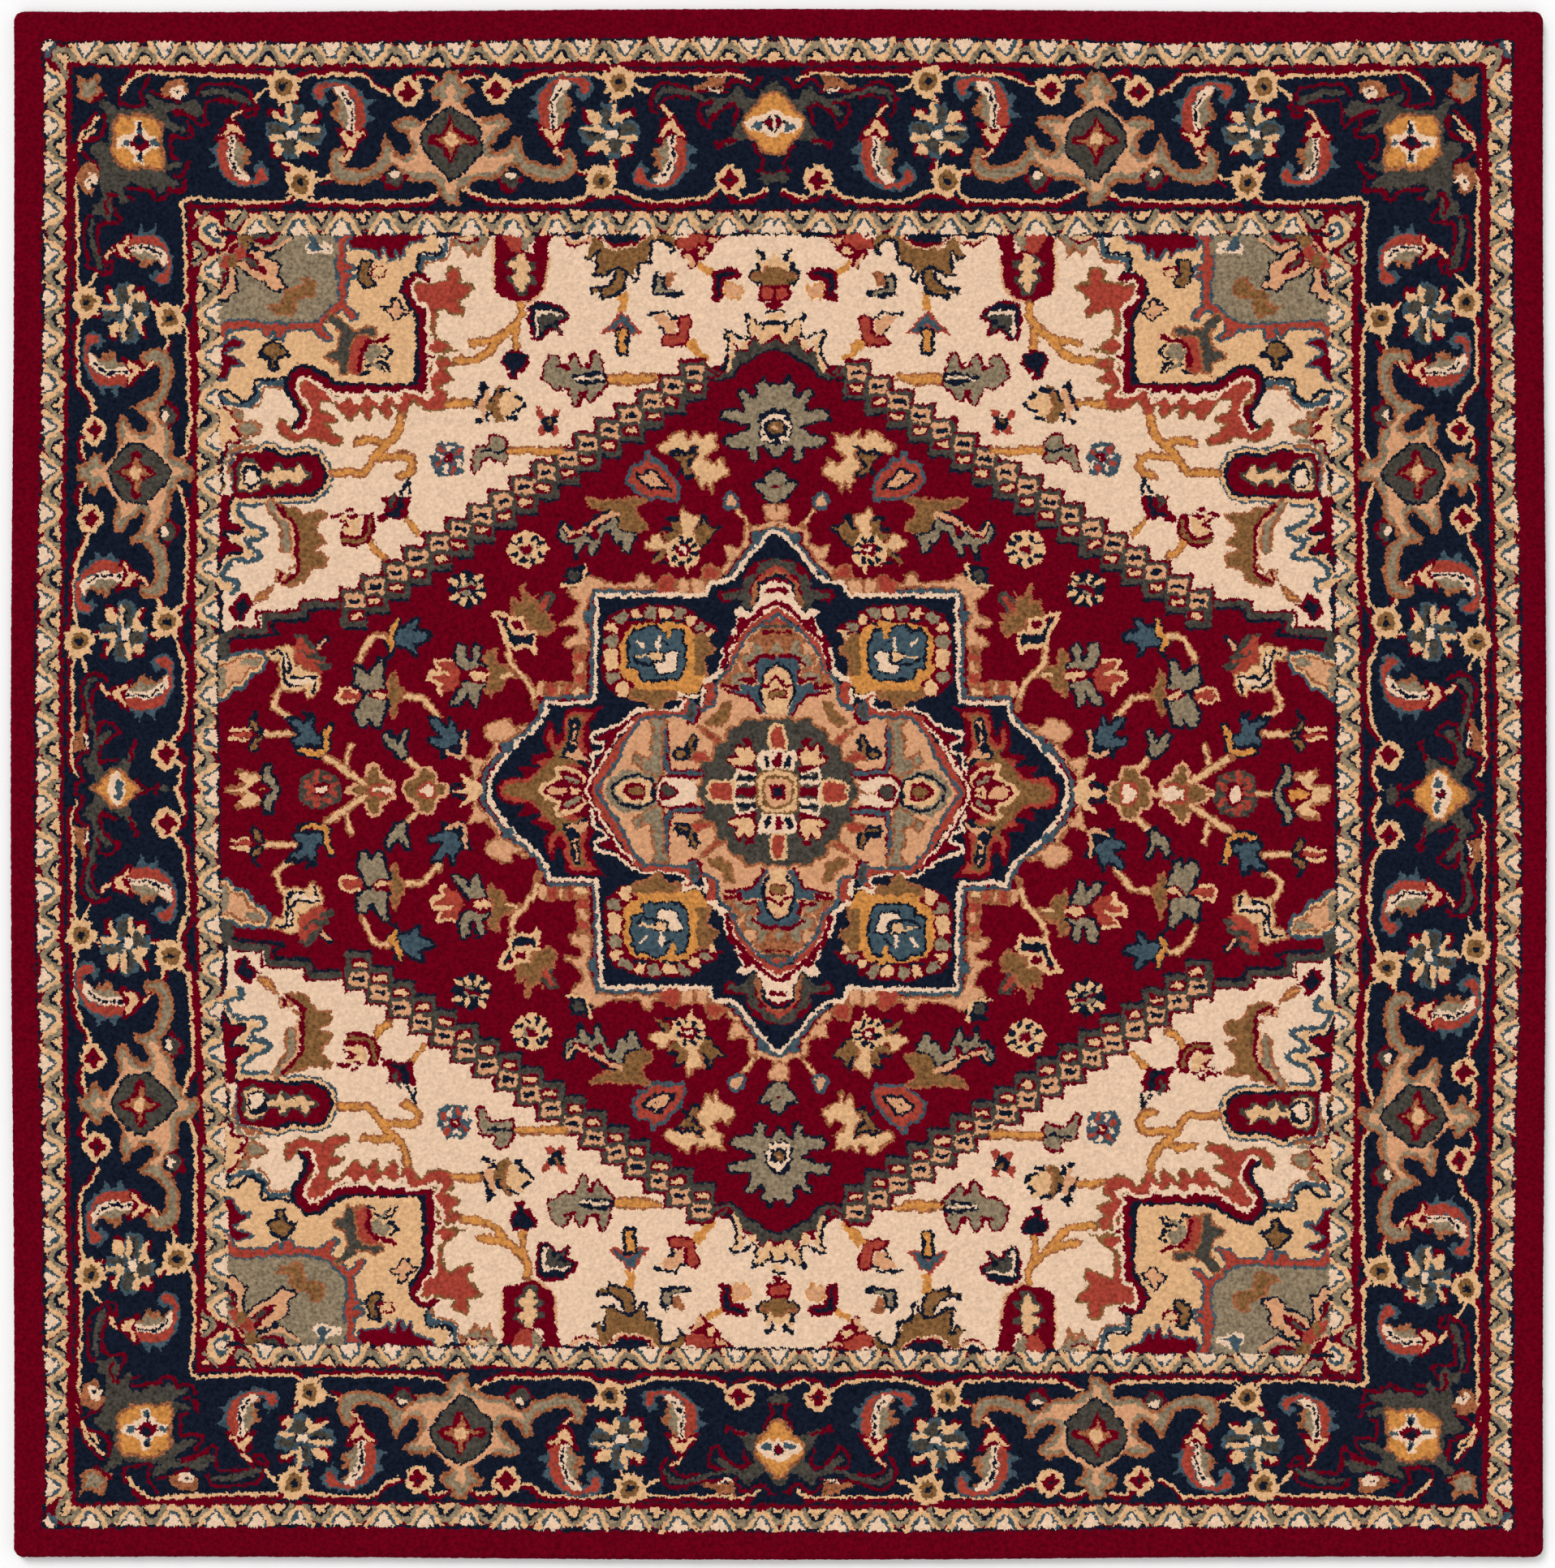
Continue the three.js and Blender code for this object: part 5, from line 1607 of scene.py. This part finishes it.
def make_sheet(name, points, places, material, node):
    """A sheet from rows of points, with each point's place in the weave, both in mm."""
    rows, columns = points.shape[:2]
    mesh = bpy.data.meshes.new(name)
    corner = (np.arange(rows - 1)[:, None] * columns + np.arange(columns - 1)).ravel()
    quads = np.stack([corner, corner + columns, corner + columns + 1, corner + 1], 1)
    mesh.from_pydata((points.reshape(-1, 3) * MM).tolist(), [], quads.tolist())
    mesh.shade_smooth()
    weave = mesh.attributes.new("weave", "FLOAT_VECTOR", "POINT")
    weave.data.foreach_set("vector", places.reshape(-1, 3).astype(np.float32).ravel())
    mesh.materials.append(material)
    piece = bpy.data.objects.new(name, mesh)
    bpy.context.scene.collection.objects.link(piece)
    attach(piece, "root")
    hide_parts(node)
    return piece


def with_rim(low, high, step):
    """Places along a sheet, the end ones twice, for a rim that is turned up."""
    inner = np.linspace(low, high, int((high - low) / step) + 2)
    return np.concatenate([[low], inner, [high]])


def make_canvas(material):
    """The backing canvas, a little uneven where the latex pulls at it, with its edges turned up."""
    half_x, half_y = HALF_WIDTH - CANVAS_INSET, HALF_LENGTH - CANVAS_INSET
    x, y = np.meshgrid(with_rim(-half_x, half_x, 7), with_rim(-half_y, half_y, 7))
    z = CANVAS_HEIGHT + 0.2 * smooth_noise(x, y, 70, 31) + 0.12 * smooth_noise(x, y, 16, 32)
    z[[0, -1]] = z[:, [0, -1]] = 1.45
    points = np.stack([x, y, z], -1)
    canvas = make_sheet("backing_canvas_sheet", points, points, material, "backing_canvas")


def turned(points, quarter_turns):
    """Points on the north side, turned about the rug's middle to another side."""
    c, s = [(1, 0), (0, 1), (-1, 0), (0, -1)][quarter_turns]
    x, y = points[..., 0], points[..., 1]
    return np.stack([x * c - y * s, x * s + y * c, points[..., 2]], -1)


def make_tape(side, quarter_turns, tape, thread):
    """One side's cotton tape, its ends mitred, and the two rows of stitches that hold it."""
    sizes = [HALF_WIDTH, HALF_LENGTH]
    half_along, half_across = sizes[quarter_turns % 2] - TAPE_INSET, sizes[1 - quarter_turns % 2] - TAPE_INSET
    share, inwards = np.meshgrid(np.linspace(-1, 1, 640), with_rim(0, TAPE_WIDTH, 3))
    along = share * (half_along - inwards)
    inwards = inwards + 0.35 * smooth_noise(along, inwards * 0, 40, 33 + quarter_turns)
    pucker = 0.1 * np.sin(along * math.tau / 7) * np.exp(-((np.abs(inwards - TAPE_WIDTH / 2) - 13) / 3) ** 2)
    z = TAPE_HEIGHT + 0.08 * smooth_noise(along, inwards, 22, 37) + pucker
    z[[0, -1]] = 1.45
    z[:, [0, -1]] = 1.3
    points = turned(np.stack([-along, half_across - inwards, z], -1), quarter_turns)
    places = np.stack([along, inwards, z], -1)
    node = f"edge_tape_{side}"
    piece = make_sheet(f"{node}_sheet", points, places, tape, node)
    for row, inwards in enumerate([4, TAPE_WIDTH - 4]):
        make_stitches(f"{node}_stitches_{row + 1}", node, half_along - 6 - inwards, half_across - inwards,
                      quarter_turns, thread)


def make_stitches(name, node, reach, across, quarter_turns, thread):
    """A row of stitches: short rounded lengths of thread, 7 mm from one to the next."""
    middles = np.arange(-reach, reach, 7)
    along = np.array([-2.6, -1.9, 0, 1.9, 2.6])
    radius = np.array([0.08, 0.3, 0.36, 0.3, 0.08])
    turn = np.arange(6) * math.tau / 6
    x = middles[:, None, None] + along[None, :, None] + turn * 0
    y = across + radius[:, None] * np.cos(turn) + x * 0
    z = TAPE_HEIGHT - 0.02 + radius[:, None] * np.sin(turn) + x * 0
    points = turned(np.stack([x, y, z], -1), quarter_turns).reshape(-1, 3)
    first = (np.arange(len(middles))[:, None, None] * 30 + np.arange(4)[:, None] * 6 + np.arange(6)).ravel()
    following = first - first % 6 + (first + 1) % 6
    quads = np.stack([first, following, following + 6, first + 6], 1)
    mesh = bpy.data.meshes.new(name)
    mesh.from_pydata((points * MM).tolist(), [], quads.tolist())
    mesh.shade_smooth()
    mesh.materials.append(thread)
    piece = bpy.data.objects.new(name, mesh)
    bpy.context.scene.collection.objects.link(piece)
    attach(piece, "root")
    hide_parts(node)


def rounded_rectangle(half_x, half_y, radius):
    """A closed outline with the same number of points whatever its size."""
    outline = []
    for number, (x, y) in enumerate([(1, 1), (-1, 1), (-1, -1), (1, -1)]):
        turn = np.radians(90 * number + np.linspace(0, 90, 7))
        middle = [x * (half_x - radius), y * (half_y - radius)]
        outline.append(middle + radius * np.stack([np.cos(turn), np.sin(turn)], 1))
    corners = np.vstack(outline + [outline[0][:1]])
    ends = np.arange(len(corners))
    fine = np.concatenate([np.linspace(i, i + 1, 30 if i % 7 == 6 else 1, endpoint=False) for i in ends[:-1]])
    fine = np.append(fine, ends[-1])
    return np.stack([np.interp(fine, ends, corners[:, 0]), np.interp(fine, ends, corners[:, 1])], 1)


def make_tufting_cloth(material):
    """The cloth that holds the tufts: flat, folded over at the rug's edge, its margin turned under."""
    fold = np.linspace(0, math.pi, 9)
    insets = np.concatenate([[905, 600, 300, 100, 30], CLOTH_FOLD * (1 - np.sin(fold)), [8, 18, HEM]])
    heights = np.concatenate([[CLOTH_TOP] * 5, CLOTH_TOP - CLOTH_FOLD * (1 - np.cos(fold)),
                              [CLOTH_TOP - 2 * CLOTH_FOLD] * 3])
    rings = []
    for inset, height in zip(insets, heights):
        half_x, half_y = HALF_WIDTH - CLOTH_INSET - inset, HALF_LENGTH - CLOTH_INSET - inset
        ring = rounded_rectangle(half_x, half_y, max(10 - inset, 0.5))
        rings.append(np.column_stack([ring, np.full(len(ring), height)]))
    points = np.array(rings)
    cloth = make_sheet("tufting_cloth_sheet", points, points, material, "tufting_cloth")


def make_backing():
    canvas = make_weave("woven_canvas", (203, 188, 160), 1.5, False)
    tape = make_weave("herringbone_tape", (214, 203, 180), 0.9, True)
    cloth = make_weave("tufting_cloth", (206, 198, 182), 1.8, False)
    make_canvas(canvas)
    make_tufting_cloth(cloth)
    thread = make_thread()
    for quarter_turns, side in enumerate(["north", "west", "south", "east"]):
        make_tape(side, quarter_turns, tape, thread)
    for slot in bpy.data.objects["latex_coat"].material_slots:
        slot.material = make_latex()

# ---------------------------------------------------------------- camera, floor and light
def make_camera():
    """Straight above the rug, with a long lens, as the rug is seen."""
    data = bpy.data.cameras.new("camera")
    data.lens = 85
    camera = bpy.data.objects.new("camera", data)
    camera.location = (-0.00125, 0.0004, 4.405)
    bpy.context.scene.collection.objects.link(camera)
    bpy.context.scene.camera = camera


def make_floor():
    """A plain pale floor far wider than the rug."""
    mesh = bpy.data.meshes.new("floor")
    mesh.from_pydata([(-40, -40, 0), (40, -40, 0), (40, 40, 0), (-40, 40, 0)], [], [(0, 1, 2, 3)])
    floor = bpy.data.objects.new("floor", mesh)
    bpy.context.scene.collection.objects.link(floor)
    material, tree, shader, add = new_material("pale_floor")
    shader.inputs["Base Color"].default_value = (0.93, 0.93, 0.93, 1)
    shader.inputs["Roughness"].default_value = 0.8
    mesh.materials.append(material)


def make_light():
    """Soft white light from all round, and a broad lamp high on the upper left."""
    world = bpy.data.worlds.new("studio")
    world.use_nodes = True
    world.node_tree.nodes["Background"].inputs["Color"].default_value = (1, 1, 1, 1)
    world.node_tree.nodes["Background"].inputs["Strength"].default_value = 0.75
    bpy.context.scene.world = world
    data = bpy.data.lights.new("lamp", "SUN")
    data.energy = 1.5
    data.angle = math.radians(25)
    lamp = bpy.data.objects.new("lamp", data)
    lamp.rotation_euler = (math.radians(-38), math.radians(-30), 0)
    bpy.context.scene.collection.objects.link(lamp)


draw_quarter()
build_pile(make_wool())
make_backing()
make_camera()
make_floor()
make_light()
bpy.context.scene.view_settings.view_transform = "Standard"
